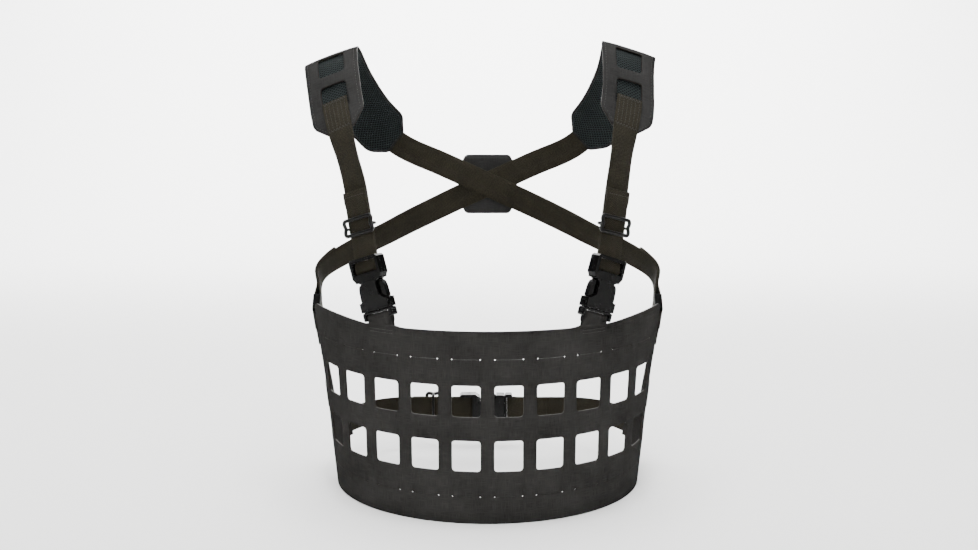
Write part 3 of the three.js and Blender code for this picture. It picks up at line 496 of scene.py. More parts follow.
def rounded(bm, corners, radius=0.0, segments=5):
    """A closed flat outline; corners are (x, y) or (x, y, radius of its rounding)."""
    made = [bm.verts.new((c[0], c[1], 0)) for c in corners]
    bm.faces.new(made)
    radii = [c[2] if len(c) > 2 else radius for c in corners]
    for r in sorted({r for r in radii if r > 0}):
        sharp = [v for v, own in zip(made, radii) if own == r]
        bmesh.ops.bevel(
            bm, geom=sharp, offset=r, offset_type="OFFSET", affect="VERTICES",
            segments=segments, profile=0.5, material=-1, clamp_overlap=True,
        )


def window(bm, x, y, width, height, radius):
    w, h = width / 2, height / 2
    rounded(bm, [(x - w, y - h), (x + w, y - h), (x + w, y + h), (x - w, y + h)], radius, 4)


def fill_between_outlines(bm):
    """Throw the drawn faces away and fill between the outlines, leaving the windows open."""
    bmesh.ops.delete(bm, geom=bm.faces[:], context="FACES_ONLY")
    bmesh.ops.triangle_fill(bm, use_beauty=True, edges=bm.edges[:], normal=(0, 0, 1))


def cut_lines(bm, axis, places):
    normal = (1, 0, 0) if axis == 0 else (0, 1, 0)
    for place in places:
        spot = (place, 0, 0) if axis == 0 else (0, place, 0)
        everything = bm.verts[:] + bm.edges[:] + bm.faces[:]
        bmesh.ops.bisect_plane(bm, geom=everything, dist=0.01, plane_co=spot, plane_no=normal)


def keep_flat(bm):
    u, v = bm.verts.layers.float["u"], bm.verts.layers.float["v"]
    for vert in bm.verts:
        vert[u], vert[v] = vert.co.x, vert.co.y
    down = [f for f in bm.faces if f.normal.z < 0]
    bmesh.ops.reverse_faces(bm, faces=down)


def spaced(start, stop, step):
    count = max(round((stop - start) / step), 1)
    return [start + (stop - start) * i / count for i in range(count + 1)]


# %% A helper that turns a drawing in millimetres into a finished piece
def finished(name, bm, materials, body="vest"):
    u, v = bm.verts.layers.float.get("u"), bm.verts.layers.float.get("v")
    if u:
        uv = bm.loops.layers.uv.new("flat")
        for face in bm.faces:
            for loop in face.loops:
                loop[uv].uv = (loop.vert[u], loop.vert[v])
    bmesh.ops.scale(bm, vec=(0.001, 0.001, 0.001), verts=bm.verts)
    mesh = bpy.data.meshes.new(name)
    bm.to_mesh(mesh)
    bm.free()
    mesh.shade_smooth()
    for material in materials:
        mesh.materials.append(material)
    obj = bpy.data.objects.new(name, mesh)
    bpy.context.scene.collection.objects.link(obj)
    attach(obj, body)
    print(name, len(mesh.polygons), "faces")
    return obj


def thicken(obj, thickness, edge_slot, back_slot=0, soften=0.0):
    solid = obj.modifiers.new("thickness", "SOLIDIFY")
    solid.thickness = thickness / 1000
    solid.offset = 0
    solid.material_offset_rim = edge_slot
    solid.material_offset = back_slot
    if soften:
        bevel = obj.modifiers.new("soft edge", "BEVEL")
        bevel.width = soften / 1000
        bevel.segments = 2
        bevel.limit_method = "ANGLE"
        bevel.angle_limit = math.radians(60)
        bevel.material = -1
    return obj


# %% [markdown]
# ## The front panel
# The real panel is cut flat by a laser: two rows of twelve windows, two rows of slits that end in small
# round holes so that they don't tear, tabs for the buckles and tongues for the waist strap. Its corners are
# drawn sharp and then bevelled, which rounds each one by its own radius.

# %% Outline of the panel, half of it mirrored
def panel_outline():
    half = [
        (220, 0, 22), (246, 27, 9), (TONGUE_END, 27), (TONGUE_END, 57), (REAR_LINE, 57, 11),
        (REAR_LINE, PANEL_HEIGHT + 4.5 - SLOPE * (REAR_LINE - REAR_CUT), 1.5),
        (REAR_CUT, PANEL_HEIGHT + 4.5, 12),
        (165, PANEL_HEIGHT + 4.5, 22), (117, PANEL_HEIGHT, 4),
        (112.4, PANEL_HEIGHT, 2), (TAB_AT + 13, PANEL_HEIGHT + 1.8), (TAB_AT - 13, PANEL_HEIGHT + 1.8),
        (TAB_AT - 18.5, PANEL_HEIGHT, 5.5),
    ]
    return half + [(-c[0], *c[1:]) for c in reversed(half)]


COLUMNS = [(i - 5.5) * COLUMN_PITCH for i in range(12)]


def slit(bm, x, y):
    """A slit with a round hole at each end."""
    hole, reach, lip = 0.72, 12.6, 0.17
    start = math.asin(lip / hole)
    turn = [start + i * (2 * math.pi - 2 * start) / 10 for i in range(11)]
    left = [(x - reach + hole * math.cos(a), y + hole * math.sin(a)) for a in turn]
    right = [(x + reach - hole * math.cos(a), y - hole * math.sin(a)) for a in turn]
    rounded(bm, left + right)


panel = new_sheet()
rounded(panel, panel_outline())
for column in COLUMNS:
    for height in (63.5, 114.3):
        window(panel, column, height, 26, 29, 3)
    for height in (25.4, PANEL_HEIGHT - 25.4):
        slit(panel, column, height)
fill_between_outlines(panel)
tab_edges = [s * (TAB_AT + d) for s in (-1, 1) for d in (-13, 13)]
cut_lines(panel, 0, spaced(-TONGUE_END + 4, TONGUE_END - 4, 5) + tab_edges)
cut_lines(panel, 1, (12, 38, 63.5, 89, 114.3, 140, 162, 172))
keep_flat(panel)
print("flat panel area", round(sum(f.calc_area() for f in panel.faces) / 100), "square centimetres")

# %% [markdown]
# Each tab is one with the panel: its top edge is extruded row by row, up to the bar of the buckle, over it
# and down behind the panel, where it is sewn. At the rear corners the tabs fold the other way, to the front.

# %% Bend the panel, then run the tabs over their bars
def half_turn(place, bar, radius, start, over, steps=10):
    stations = []
    for i in range(steps + 1):
        angle = math.pi * i / steps
        out = start * radius * math.cos(angle)
        stations.append((place.at(out, bar + over * radius * math.sin(angle)), place.side))
    return stations


def eased(stations, step=2.5):
    """A smooth run of stations through a few given ones."""
    points = [s[0] for s in stations]
    run = [0.0]
    for a, b in zip(points, points[1:]):
        run.append(run[-1] + (b - a).length)
    out = []
    for i in range(len(points) - 1):
        before, a, b, after = (points[min(max(i + k, 0), len(points) - 1)] for k in (-1, 0, 1, 2))
        reach = run[i + 1] - run[i]
        slopes = []
        for j, (p, q) in ((i, (before, b)), (i + 1, (a, after))):
            gap = run[min(j + 1, len(run) - 1)] - run[max(j - 1, 0)]
            slopes.append((q - p) * (reach / gap if gap else 0))
        count = max(round(reach / step), 1)
        for k in range(count):
            t = k / count
            h = (2 * t**3 - 3 * t**2 + 1, t**3 - 2 * t**2 + t, -2 * t**3 + 3 * t**2, t**3 - t**2)
            point = a * h[0] + slopes[0] * h[1] + b * h[2] + slopes[1] * h[3]
            out.append((point, stations[i][1].lerp(stations[i + 1][1], t).normalized()))
    return out + [stations[-1]]


def run_edges(bm, edges, stations, middle, begin):
    """Extrude a row of edges through the stations, keeping each vertex its own distance from the middle."""
    u, v = bm.verts.layers.float["u"], bm.verts.layers.float["v"]
    gone, last = begin, None
    for point, across in stations:
        made = bmesh.ops.extrude_edge_only(bm, edges=edges)["geom"]
        row = [g for g in made if isinstance(g, bmesh.types.BMVert)]
        inside = set(row)
        edges = [g for g in made if isinstance(g, bmesh.types.BMEdge) and all(w in inside for w in g.verts)]
        gone += (point - last).length if last else 0
        last = point
        for vert in row:
            vert.co = point + across * (vert[u] - middle)
            vert[v] = gone
    return edges


u_layer, v_layer = panel.verts.layers.float["u"], panel.verts.layers.float["v"]
for vert in panel.verts:
    vert.co = panel_point(vert[u_layer], vert[v_layer])

for name, s in SIDES.items():
    place = buckles[name]
    middle = s * TAB_AT
    top = PANEL_HEIGHT + 1.8
    root = [
        e for e in panel.edges
        if all(abs(w[v_layer] - top) < 0.02 and abs(w[u_layer] - middle) < 13.02 for w in e.verts)
    ]
    angle = panel_angle(middle, PANEL_HEIGHT)
    level = Vector((math.cos(angle), math.sin(angle), 0))
    behind = panel_point(middle, PANEL_HEIGHT - 2, -1.75)
    path = [(place.at(TAB_TURN, -3.6), place.side)] + half_turn(place, 0, TAB_TURN, 1, 1)
    path += [(place.at(-TAB_TURN, -3.5), place.side), (behind, level.lerp(place.side, 0.4).normalized())]
    path += [(panel_point(middle + s * d, PANEL_HEIGHT - z, -1.6), level) for z, d in ((9, -1), (17, -2.5))]
    run_edges(panel, root, eased(path), middle, top)
print("tabs made", len(panel.faces), "faces in the panel")

# %% Rear tabs, made on the sloping corners
def strip(stations, width, columns=6, begin=0.0):
    """A flat strap swept through stations, each a point and the direction across it."""
    bm = new_sheet()
    u, v = bm.verts.layers.float["u"], bm.verts.layers.float["v"]
    point, across = stations[0]
    row = []
    for offset in spaced(-width / 2, width / 2, width / columns):
        row.append(bm.verts.new(point + across * offset))
        row[-1][u], row[-1][v] = offset, begin
    edges = [bm.edges.new(pair) for pair in zip(row, row[1:])]
    gone = begin + (stations[1][0] - point).length
    run_edges(bm, edges, stations[1:], 0.0, gone)
    return bm


def joined(target, source):
    """Put one drawing into another, with its flat coordinates."""
    kept = bpy.data.meshes.new("kept")
    source.to_mesh(kept)
    source.free()
    target.from_mesh(kept)
    bpy.data.meshes.remove(kept)


def outward_first(bm, hint):
    """Turn an open sheet so that its first face looks along the hint."""
    bm.faces.ensure_lookup_table()
    bm.normal_update()
    if bm.faces[0].normal.dot(hint) < 0:
        bmesh.ops.reverse_faces(bm, faces=bm.faces[:])


for name, s in SIDES.items():
    place = ladders[name]
    reach = 15.5
    under = [
        (panel_point(s * (REAR_TAB_AT - z * 0.64), REAR_EDGE - z * 0.77, -0.05), place.side) for z in (6, 2)
    ]
    path = under + [(place.at(-TAB_TURN, -3.6), place.side)] + half_turn(place, 0, TAB_TURN, -1, 1)
    path += [(place.at(TAB_TURN, -3.5), place.side)]
    path += [
        (panel_point(s * (REAR_TAB_AT - z * 0.62), REAR_EDGE - z * 0.7, 1.55), place.side)
        for z in (2, 9, reach)
    ]
    loop = strip(eased(path), 25.4, begin=PANEL_HEIGHT)
    outward_first(loop, -place.back)
    joined(panel, loop)

front_panel = finished("panel_sheet", panel, [panel_cloth, cut_edge])
thicken(front_panel, LAMINATE, 1)
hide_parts("front_panel")

# %% [markdown]
# ## The path of each shoulder strap
# A strap runs straight up from its buckle, bends over the shoulder, crosses the back and comes down to the
# lock on the other side. A centripetal Catmull-Rom curve passes through every chosen point without the
# loops that a plain one makes where points are unevenly spaced.

# %% Curve and strap route
class Route:
    def __init__(self, points, start_normal, end_normal):
        self.points = points
        self.ends = start_normal, end_normal
        self.steps = [self.spot(i / 1200) for i in range(1201)]
        self.run = [0.0]
        for a, b in zip(self.steps, self.steps[1:]):
            self.run.append(self.run[-1] + (b - a).length)
        self.length = self.run[-1]

    def spot(self, t):
        points = self.points
        last = len(points) - 1
        place = min(t * last, last - 1e-9)
        i = int(place)
        w = place - i
        p1, p2 = points[i], points[i + 1]
        p0 = points[i - 1] if i > 0 else 2 * points[0] - points[1]
        p3 = points[i + 2] if i + 2 <= last else 2 * points[last] - points[last - 1]
        d0, d1, d2 = (math.sqrt((b - a).length) for a, b in ((p0, p1), (p1, p2), (p2, p3)))
        t1 = ((p1 - p0) / d0 - (p2 - p0) / (d0 + d1) + (p2 - p1) / d1) * d1
        t2 = ((p2 - p1) / d1 - (p3 - p1) / (d1 + d2) + (p3 - p2) / d2) * d1
        return p1 + t1 * w + (3 * (p2 - p1) - 2 * t1 - t2) * w**2 + (2 * (p1 - p2) + t1 + t2) * w**3

    def point(self, s):
        s = min(max(s, 0), self.length)
        low, high = 0, len(self.run) - 1
        while high - low > 1:
            mid = (low + high) // 2
            low, high = (mid, high) if self.run[mid] <= s else (low, mid)
        part = (s - self.run[low]) / (self.run[high] - self.run[low])
        return self.steps[low].lerp(self.steps[high], part)

    def at(self, s):
        """Point, direction along, outward normal and direction across at a distance from the start."""
        point = self.point(s)
        along = (self.point(s + 0.6) - self.point(s - 0.6)).normalized()
        high = smooth(point.z, PANEL_HEIGHT + 110, PANEL_HEIGHT + 200)
        above = max(point.z - PANEL_HEIGHT - 122, 0)
        normal = Vector((mix(0.57, 0.35, high) * point.x, 0.95 * (point.y - 5), 1.22 * above)).normalized()
        normal = normal.lerp(self.ends[0], 1 - smooth(s, 72, 117))
        normal = normal.lerp(self.ends[1], smooth(s, self.length - 70, self.length - 5))
        normal = (normal - along * normal.dot(along)).normalized()
        return point, along, normal, along.cross(normal)

    def place(self, s, out, sideways=0.0):
        point, along, normal, across = self.at(s)
        return point + normal * out + across * sideways

    def run_of(self, start, stop, step, out):
        """Stations from one distance to another; out is a function of the distance."""
        stations = []
        for s in spaced(min(start, stop), max(start, stop), step):
            stations.append((self.place(s, out(s)), self.at(s)[3]))
        return stations if stop > start else stations[::-1]


SHOULDER = {
    "right": [
        (131, -76, 165), (140, -53, 198), (148, -17, 236),
        (149, 20, 237), (141, 52, 212), (121, 73, 177),
    ],
    "left": [
        (123, -76, 165), (130, -53, 200), (133, -17, 242),
        (137, 20, 243), (134, 52, 216), (118, 73, 179),
    ],
}
BACK = [(92, 84, 148), (46, 89, 126), (0, 90.5, 105), (-46, 89, 84), (-98, 72, 60)]

routes = {}
for name, s in SIDES.items():
    strap, lock = straps[name], ladders["left" if name == "right" else "right"]
    points = [strap.at(0, z) for z in (0, 36, 72)]
    points += [Vector((s * x, y, PANEL_HEIGHT + z)) for x, y, z in SHOULDER[name] + BACK]
    points += [lock.at(0, z) for z in (60, 30, 18)]
    routes[name] = Route(points, -strap.back, -lock.back)
    print(name, "strap is", round(routes[name].length), "mm long")

# %% [markdown]
# ## The webbing
# One length of webbing runs down from the pad, round the buckle's bar and up again through the slider to a
# folded hem. The strip is swept once through all of that, so the layer in front really is the other face.
# The hem is folded inwards, and the strap steps out a little where it lies over its own end.

# %% Front webbing, from the pad round the buckle's bar to the hem
LAYER = 0.95  # from the middle of a doubled strap to the middle of one ply
STEP = 1.09  # how far the outer ply stands out over the hem
FOLD = 0.68  # half a ply, with its play
BAR_TURN = 2.8  # radius of the webbing round a bar
PAD_START = 123.5
PAD_LENGTH = 254.0


def strap_piece(name, stations, hint, replaces, begin=0.0):
    bm = strip(stations, 25, columns=8, begin=begin)
    outward_first(bm, hint)
    obj = finished(name, bm, [rib_webbing, twill_webbing])
    thicken(obj, 1.25, 0, back_slot=1, soften=0.4)
    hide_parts(replaces)
    return obj


def fold_back(end, before, across, lift, length):
    """The hem: the strap's end turned back under itself, towards the lift's far side."""
    along = (end - before).normalized()
    out = lift.normalized()
    stations = []
    for i in range(1, 7):
        angle = math.pi * i / 6
        place = end + along * FOLD * math.sin(angle) - out * FOLD * (1 - math.cos(angle))
        stations.append((place, across))
    for back in (3, 6, 9, length):
        stations.append((end - along * back - out * 2 * FOLD, across))
    return stations


def inner_ply(distance):
    return -LAYER


def outer_ply(distance):
    return LAYER


def flat_run(place, out, heights):
    """Stations at one distance out of a straight frame."""
    return [(place.at(out, z), place.side) for z in heights]


for name in SIDES:
    strap, buckle, route = straps[name], buckles[name], routes[name]
    path = route.run_of(PAD_START + 35, 78, 3, inner_ply)
    down = flat_run(strap, -LAYER, (66, 50, 34, 18, 5)) + half_turn(buckle, 43, BAR_TURN, -1, -1)[:2]
    path += eased(down, 3)[:-1] + half_turn(buckle, 43, BAR_TURN, -1, -1, 14)
    up = [(buckle.at(BAR_TURN, 44), strap.side)] + flat_run(strap, LAYER, (5, 18, 34, 50))
    path += eased(up, 3)[1:]
    over = ((LAYER, 53.5), (LAYER + 0.95, 57.8), (LAYER + 1.08, 66.5))
    path += eased([(strap.at(out, z), strap.side) for out, z in over], 3)
    tip, before = strap.at(LAYER + STEP, 67), strap.at(LAYER + STEP, 60)
    path += fold_back(tip, before, strap.side, -strap.back, 9.5)
    strap_piece(f"{name}_chest_strap", path, route.at(PAD_START)[2], f"{name}_front_webbing")

# %% Rear webbing, from the pad's end across the back to the lock on the other side
for name, s in SIDES.items():
    route, lock = routes[name], ladders["left" if name == "right" else "right"]
    crossing = min(spaced(route.length / 3, route.length, 1), key=lambda d: abs(route.point(d).x))
    lift = s * 1.1

    def out(d, crossing=crossing, lift=lift):
        return -LAYER + lift * (1 - smooth(abs(d - crossing), 20, 60))

    pad_end = PAD_START + PAD_LENGTH
    path = route.run_of(pad_end - 35, route.length - 12, 4, out)
    turn = [(p, -a) for p, a in half_turn(lock, 9, BAR_TURN, -1, -1, 14)]
    path += eased([path[-1], (lock.at(-BAR_TURN, 19), -lock.side), turn[0]], 3)[1:] + turn[1:]
    rise = route.run_of(route.length - 16, route.length - 66, 10, outer_ply)
    path += eased([turn[-1], (lock.at(BAR_TURN, 19), -lock.side)] + rise, 3)[1:]
    lift_out = route.at(route.length - 66)[2]
    last, before = path[-1][0] + lift_out * 2 * FOLD, path[-4][0] + lift_out * 2 * FOLD
    steps = (0.4, 0.9, 1.3, 2 * FOLD)
    path = path[:-4] + [(p + lift_out * h, a) for (p, a), h in zip(path[-4:], steps)]
    path += fold_back(last, before, path[-1][1], lift_out, 9.5)
    strap_piece(f"{name}_back_strap", path, route.at(pad_end)[2], f"{name}_rear_webbing")

# %% [markdown]
# ## The shoulder pads
# Each pad has a laminated cover with five windows and a knitted spacer mesh under it, sewn together round
# the edge. The cover is a sheet: it is drawn flat, cut and bent on to the strap's route, a little lower at
# its edges, where the seam pulls it down.

# %% Pad covers
PAD_WIDTH = 53.0
COVER_OUT = -2.45
PAD_WINDOWS = [PAD_LENGTH / 2 - 6 + (i - 2) * 41 for i in range(5)]


def pad_outline(width, length, chamfer, radius):
    w, start, stop = width / 2, (PAD_LENGTH - length) / 2, (PAD_LENGTH + length) / 2
    tip = w - 0.9 * chamfer
    half = [
        (start, tip, radius * 0.6), (start + chamfer, w, radius),
        (stop - chamfer, w, radius), (stop, tip, radius * 0.6),
    ]
    return half + [(c[0], -c[1], c[2]) for c in reversed(half)]


def crown(across, drop=1.1):
    return -drop * abs(across / (PAD_WIDTH / 2)) ** 2.6


for name in SIDES:
    cover = new_sheet()
    rounded(cover, pad_outline(PAD_WIDTH, PAD_LENGTH, 15, 5))
    for place in PAD_WINDOWS:
        window(cover, place, 0, 29, 26, 3)
    fill_between_outlines(cover)
    cut_lines(cover, 0, spaced(4, PAD_LENGTH - 4, 4))
    cut_lines(cover, 1, spaced(-21, 21, 6))
    keep_flat(cover)
    flat_area = sum(f.calc_area() for f in cover.faces)
    for vert in cover.verts:
        along, across = vert.co.x, vert.co.y
        vert.co = routes[name].place(PAD_START + along, COVER_OUT + crown(across), -across)
    outward_first(cover, routes[name].at(PAD_START)[2])
    obj = finished(f"{name}_shoulder_pad_cover", cover, [pad_cloth, cut_edge])
    thicken(obj, LAMINATE, 1)
    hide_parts(f"{name}_pad_cover")

# %% [markdown]
# ## The padding, by cloth simulation
# The knitted mesh is soft: sewn down round its edge, it swells between the seams and a little way into the
# windows. That crown is made by a short cloth simulation of the pad while it is still flat, with the seam
# pinned and air pressure inside. Running it flat keeps the flat coordinates of the knit. The result is
# capped, so that it never pushes through the cover, and only then bent on to the strap.

# %% A flat slab of even squares, with its seam marked
MESH_LENGTH, MESH_WIDTH = 249.0, 48.0
MESH_OUT = -6.2
SEAM_THICKNESS = 2.4


def flat_pad():
    bm = new_sheet()
    rounded(bm, pad_outline(MESH_WIDTH, MESH_LENGTH, 13, 4))
    start = (PAD_LENGTH - MESH_LENGTH) / 2
    cut_lines(bm, 0, spaced(start + 4, PAD_LENGTH - start - 4, 4))
    cut_lines(bm, 1, spaced(-20, 20, 4))
    keep_flat(bm)
    seam = bm.verts.layers.float.new("seam")
    for vert in bm.verts:
        vert[seam] = 1.0 if vert.is_boundary else 0.0
    bmesh.ops.solidify(bm, geom=bm.faces[:], thickness=SEAM_THICKNESS)
    middle = sum(v.co.z for v in bm.verts) / len(bm.verts)
    bmesh.ops.translate(bm, verts=bm.verts, vec=(0, 0, -middle))
    bmesh.ops.recalc_face_normals(bm, faces=bm.faces)
    return bm


# %% Swell it: cloth with pressure, pinned at the seam
def swell(bm):
    seam = bm.verts.layers.float["seam"]
    pinned = [v.index for v in bm.verts if v[seam] > 0.5]
    mesh = bpy.data.meshes.new("swelling")
    small = bm.copy()
    bmesh.ops.scale(small, vec=(0.001, 0.001, 0.001), verts=small.verts)
    small.to_mesh(mesh)
    small.free()
    obj = bpy.data.objects.new("swelling", mesh)
    bpy.context.scene.collection.objects.link(obj)
    obj.vertex_groups.new(name="seam").add(pinned, 1.0, "REPLACE")
    cloth = obj.modifiers.new("cloth", "CLOTH")
    cloth.settings.vertex_group_mass = "seam"
    cloth.settings.use_pressure = True
    cloth.settings.uniform_pressure_force = 14.0
    cloth.settings.effector_weights.gravity = 0.0
    cloth.point_cache.frame_start = 1
    cloth.point_cache.frame_end = 20
    for step in range(1, 21):
        bpy.context.scene.frame_set(step)
    shape = obj.evaluated_get(bpy.context.evaluated_depsgraph_get()).to_mesh()
    places = [v.co * 1000 for v in shape.vertices]
    bpy.data.objects.remove(obj)
    bpy.data.meshes.remove(mesh)
    bpy.context.scene.frame_set(1)
    return places


pad_drawing = flat_pad()
pad_drawing.verts.index_update()
rest_heights = [v.co.z for v in pad_drawing.verts]
swollen = swell(pad_drawing)
rise = [place.z - height for place, height in zip(swollen, rest_heights)]
print("pad points", len(swollen), "swell by", round(min(rise), 2), "to", round(max(rise), 2), "mm")

# %% Cap the swelling under the cover, and bend each pad on to its strap
def window_share(along, across):
    """1 in the middle of a window of the cover, 0 under the cover itself."""
    nearest = min(abs(along - place) for place in PAD_WINDOWS)
    return (1 - smooth(nearest, 9, 14)) * (1 - smooth(abs(across), 8, 12.5))


for name in SIDES:
    pad = pad_drawing.copy()
    pad.verts.ensure_lookup_table()
    for vert, place in zip(pad.verts, swollen):
        along, across = place.x, place.y
        edge = abs(across) / (MESH_WIDTH / 2)
        base = MESH_OUT + 0.75 * edge**2.6
        ceiling = COVER_OUT - LAMINATE / 2 - 0.12 + crown(across) + 0.75 * window_share(along, across)
        out = min(base + min(max(place.z, -3.2), 4.0), ceiling)
        vert.co = routes[name].place(PAD_START + along, out, -across)
    bmesh.ops.recalc_face_normals(pad, faces=pad.faces)
    obj = finished(f"{name}_shoulder_padding", pad, [mesh_cloth])
    rounder = obj.modifiers.new("rounder", "SUBSURF")
    rounder.levels = rounder.render_levels = 1
    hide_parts(f"{name}_pad_mesh")
pad_drawing.free()

# %% [markdown]
# ## The waist strap
# Two lengths of webbing are sewn on the panel's tongues, curve round the back and meet in a buckle. Between
# a tongue and the straight run behind the back, a Bezier curve leaves each end in its own direction.

# %% Waist webbing
def waist_run(s):
    def ruling(u):
        return (panel_point(u, WAIST_HEIGHT - 12.5) - panel_point(u, WAIST_HEIGHT + 12.5)).normalized()

    stations = []
    for past in (-6, -3, 0, 3, 6, 10, 15, 20):
        u = s * (REAR_LINE + past)
        stations.append((panel_point(u, WAIST_HEIGHT, 1.55), ruling(u)))
    angle = panel_angle(TONGUE_END, WAIST_HEIGHT)
    start, stop = stations[-1][0], Vector((s * 82, 76, WAIST_HEIGHT))
    reach = (stop - start).length * 0.4
    first = start + Vector((s * math.cos(angle), math.sin(angle), 0)) * reach
    second = stop + Vector((s * reach, 0, 0))
    leave = ruling(s * TONGUE_END)
    for t in spaced(0, 1, 0.04)[1:]:
        k = 1 - t
        point = k**3 * start + 3 * k * k * t * first + 3 * k * t * t * second + t**3 * stop
        stations.append((point, leave.lerp(Vector((0, 0, -1)), t).normalized()))
    return stations


hook = waist_buckle
to_bar = [(hook.at(0, -46), hook.side), (hook.at(0.1, -12), hook.side)] + half_turn(hook, 0, 2.4, 1, 1)[:1]
left = waist_run(1) + eased(to_bar, 3)
left += half_turn(hook, 0, 2.4, 1, 1, 12)[1:]
left += eased([left[-1]] + flat_run(hook, -2 * LAYER, (-12, -26, -40)), 3)[1:]
strap_piece("waist_strap_left", left, Vector((1, 0, 0)), "waist_webbing_left")

to_bar = flat_run(hook, -LAYER, (101, 83, 67, 53)) + half_turn(hook, 43, BAR_TURN, -1, -1)[:1]
right = waist_run(-1) + eased(to_bar, 3)
right += half_turn(hook, 43, BAR_TURN, -1, -1, 14)[1:]
right += eased([right[-1]] + flat_run(hook, LAYER, (53, 67, 85)), 3)[1:]
over = ((LAYER, 87), (LAYER + 0.85, 93), (LAYER + 1.08, 102.5))
right += eased([(hook.at(out, z), hook.side) for out, z in over], 3)
tip, before = hook.at(LAYER + STEP, 103), hook.at(LAYER + STEP, 93)
right += fold_back(tip, before, hook.side, -hook.back, 9.5)
strap_piece("waist_strap_right", right, Vector((-1, 0, 0)), "waist_webbing_right")

# %% [markdown]
# ## The hard parts
# The frame already holds true shapes for the buckles and the locks. A moulded part never has a sharp edge,
# though, and it is the thin highlight along each edge that makes plastic look like plastic. Each one is
# copied, its loose triangles are merged into faces, small lips are added, and a bevel rounds the edges.

# %% Copy a hard part and round its edges
def hard_part(node, name, material, rounding, body="vest", extras=None):
    bm = bmesh.new()
    bm.from_mesh(bpy.data.objects[node].data)
    bmesh.ops.scale(bm, vec=(1000, 1000, 1000), verts=bm.verts)
    bmesh.ops.remove_doubles(bm, verts=bm.verts, dist=0.002)
    bmesh.ops.dissolve_limit(
        bm, angle_limit=math.radians(2), verts=bm.verts, edges=bm.edges, delimit={"NORMAL"}
    )
    if extras:
        extras(bm)
    obj = finished(name, bm, [material], body=body)
    bevel = obj.modifiers.new("rounded edges", "BEVEL")
    bevel.width = rounding / 1000
    bevel.segments = 3
    bevel.limit_method = "ANGLE"
    bevel.angle_limit = math.radians(35)
    bevel.material = -1
    bevel.use_clamp_overlap = True
    normals = obj.modifiers.new("even shading", "WEIGHTED_NORMAL")
    normals.weight = 60
    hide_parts(node)
    return obj


def body_of(joint):
    return next(j["child"] for j in frame["joints"] if j["name"] == joint)


def add_block(bm, x, y, z):
    """A plain block, for a lip or a rib of a moulded part, between pairs of coordinates in its frame."""
    size = Matrix.Diagonal((x[1] - x[0], y[1] - y[0], z[1] - z[0], 1))
    middle = Matrix.Translation(((x[0] + x[1]) / 2, (y[0] + y[1]) / 2, (z[0] + z[1]) / 2))
    return bmesh.ops.create_cube(bm, size=1, matrix=middle @ size)["verts"]


def placed(blocks, frame_of_part):
    """Blocks drawn in the part's frame, added to a part that is already in its place."""
    def extras(bm):
        own = bmesh.new()
        for block in blocks:
            add_block(own, *block)
        bmesh.ops.transform(own, matrix=frame_of_part.matrix(), verts=own.verts)
        joined(bm, own)
    return extras


# a shelf under the webbing's fold, a lip round the mouth and a lip above each side window
SOCKET_LIPS = [
    ((-13.2, 13.2), (-1.2, 5.3), (36.2, 38.4)),
    ((-13.2, 13.2), (3.9, 5.6), (36.4, 40.0)),
    ((-13.2, 13.2), (-5.6, -3.9), (36.4, 40.0)),
    ((-15.6, 15.6), (-5.95, -4.9), (5.75, 7.3)),
    ((-15.6, 15.6), (4.9, 5.95), (5.75, 7.3)),
    ((-7.2, 7.2), (-5.9, -5.2), (31.2, 32.6)),
]
# the bridge over the tab, and the ribs on the two feet
PLUG_LIPS = [((-14.2, 14.2), (-4.2, 4.2), (3.15, 5.66))]
for s in (-1, 1):
    PLUG_LIPS += [((s * 16.0 - 0.5, s * 16.0 + 0.9), (-3.6, 3.6), (z, z + 0.9)) for z in (-1.6, 0.4, 2.4)]
places = {"right": buckles["right"], "left": buckles["left"], "waist": waist_buckle}
for prefix, place in places.items():
    lips = placed(SOCKET_LIPS, place)
    hard_part(f"{prefix}_buckle_body", f"{prefix}_buckle_socket", buckle_plastic, 0.6, extras=lips)
    lips = placed(PLUG_LIPS, place)
    hard_part(f"{prefix}_buckle_base", f"{prefix}_buckle_plug", buckle_plastic, 0.4, extras=lips)
    for letter in "ab":
        body = body_of(f"{prefix}_prong_{letter}_squeeze")
        arm = f"{prefix}_buckle_arm_{letter}"
        hard_part(f"{prefix}_prong_{letter}", arm, buckle_plastic, 0.6, body=body)
for name in SIDES:
    hard_part(f"{name}_ladder_lock", f"{name}_strap_lock", lock_plastic, 0.6)

# %% [markdown]
# A slider is moulded like bent wire: two bars in front of the strap, joined by ends with two lobes each, and
# a third bar behind. A curve with a round bevel draws that wire in one go and is then turned into a mesh.

# %% Sliders, as bent round wire
def wire(points, radius, closed, name):
    curve = bpy.data.curves.new(name, "CURVE")
    curve.dimensions = "3D"
    curve.bevel_depth = radius / 1000
    curve.bevel_resolution = 3
    curve.use_fill_caps = True
    spline = curve.splines.new("NURBS")
    spline.points.add(len(points) - 1)
    for spot, point in zip(spline.points, points):
        spot.co = (*(Vector(point) / 1000), 1)
    spline.use_cyclic_u = closed
    spline.use_endpoint_u = not closed
    spline.order_u = 3
    spline.resolution_u = 4
    holder = bpy.data.objects.new(name, curve)
    bpy.context.scene.collection.objects.link(holder)
    mesh = bpy.data.meshes.new_from_object(holder.evaluated_get(bpy.context.evaluated_depsgraph_get()))
    bpy.data.objects.remove(holder)
    bpy.data.curves.remove(curve)
    return mesh


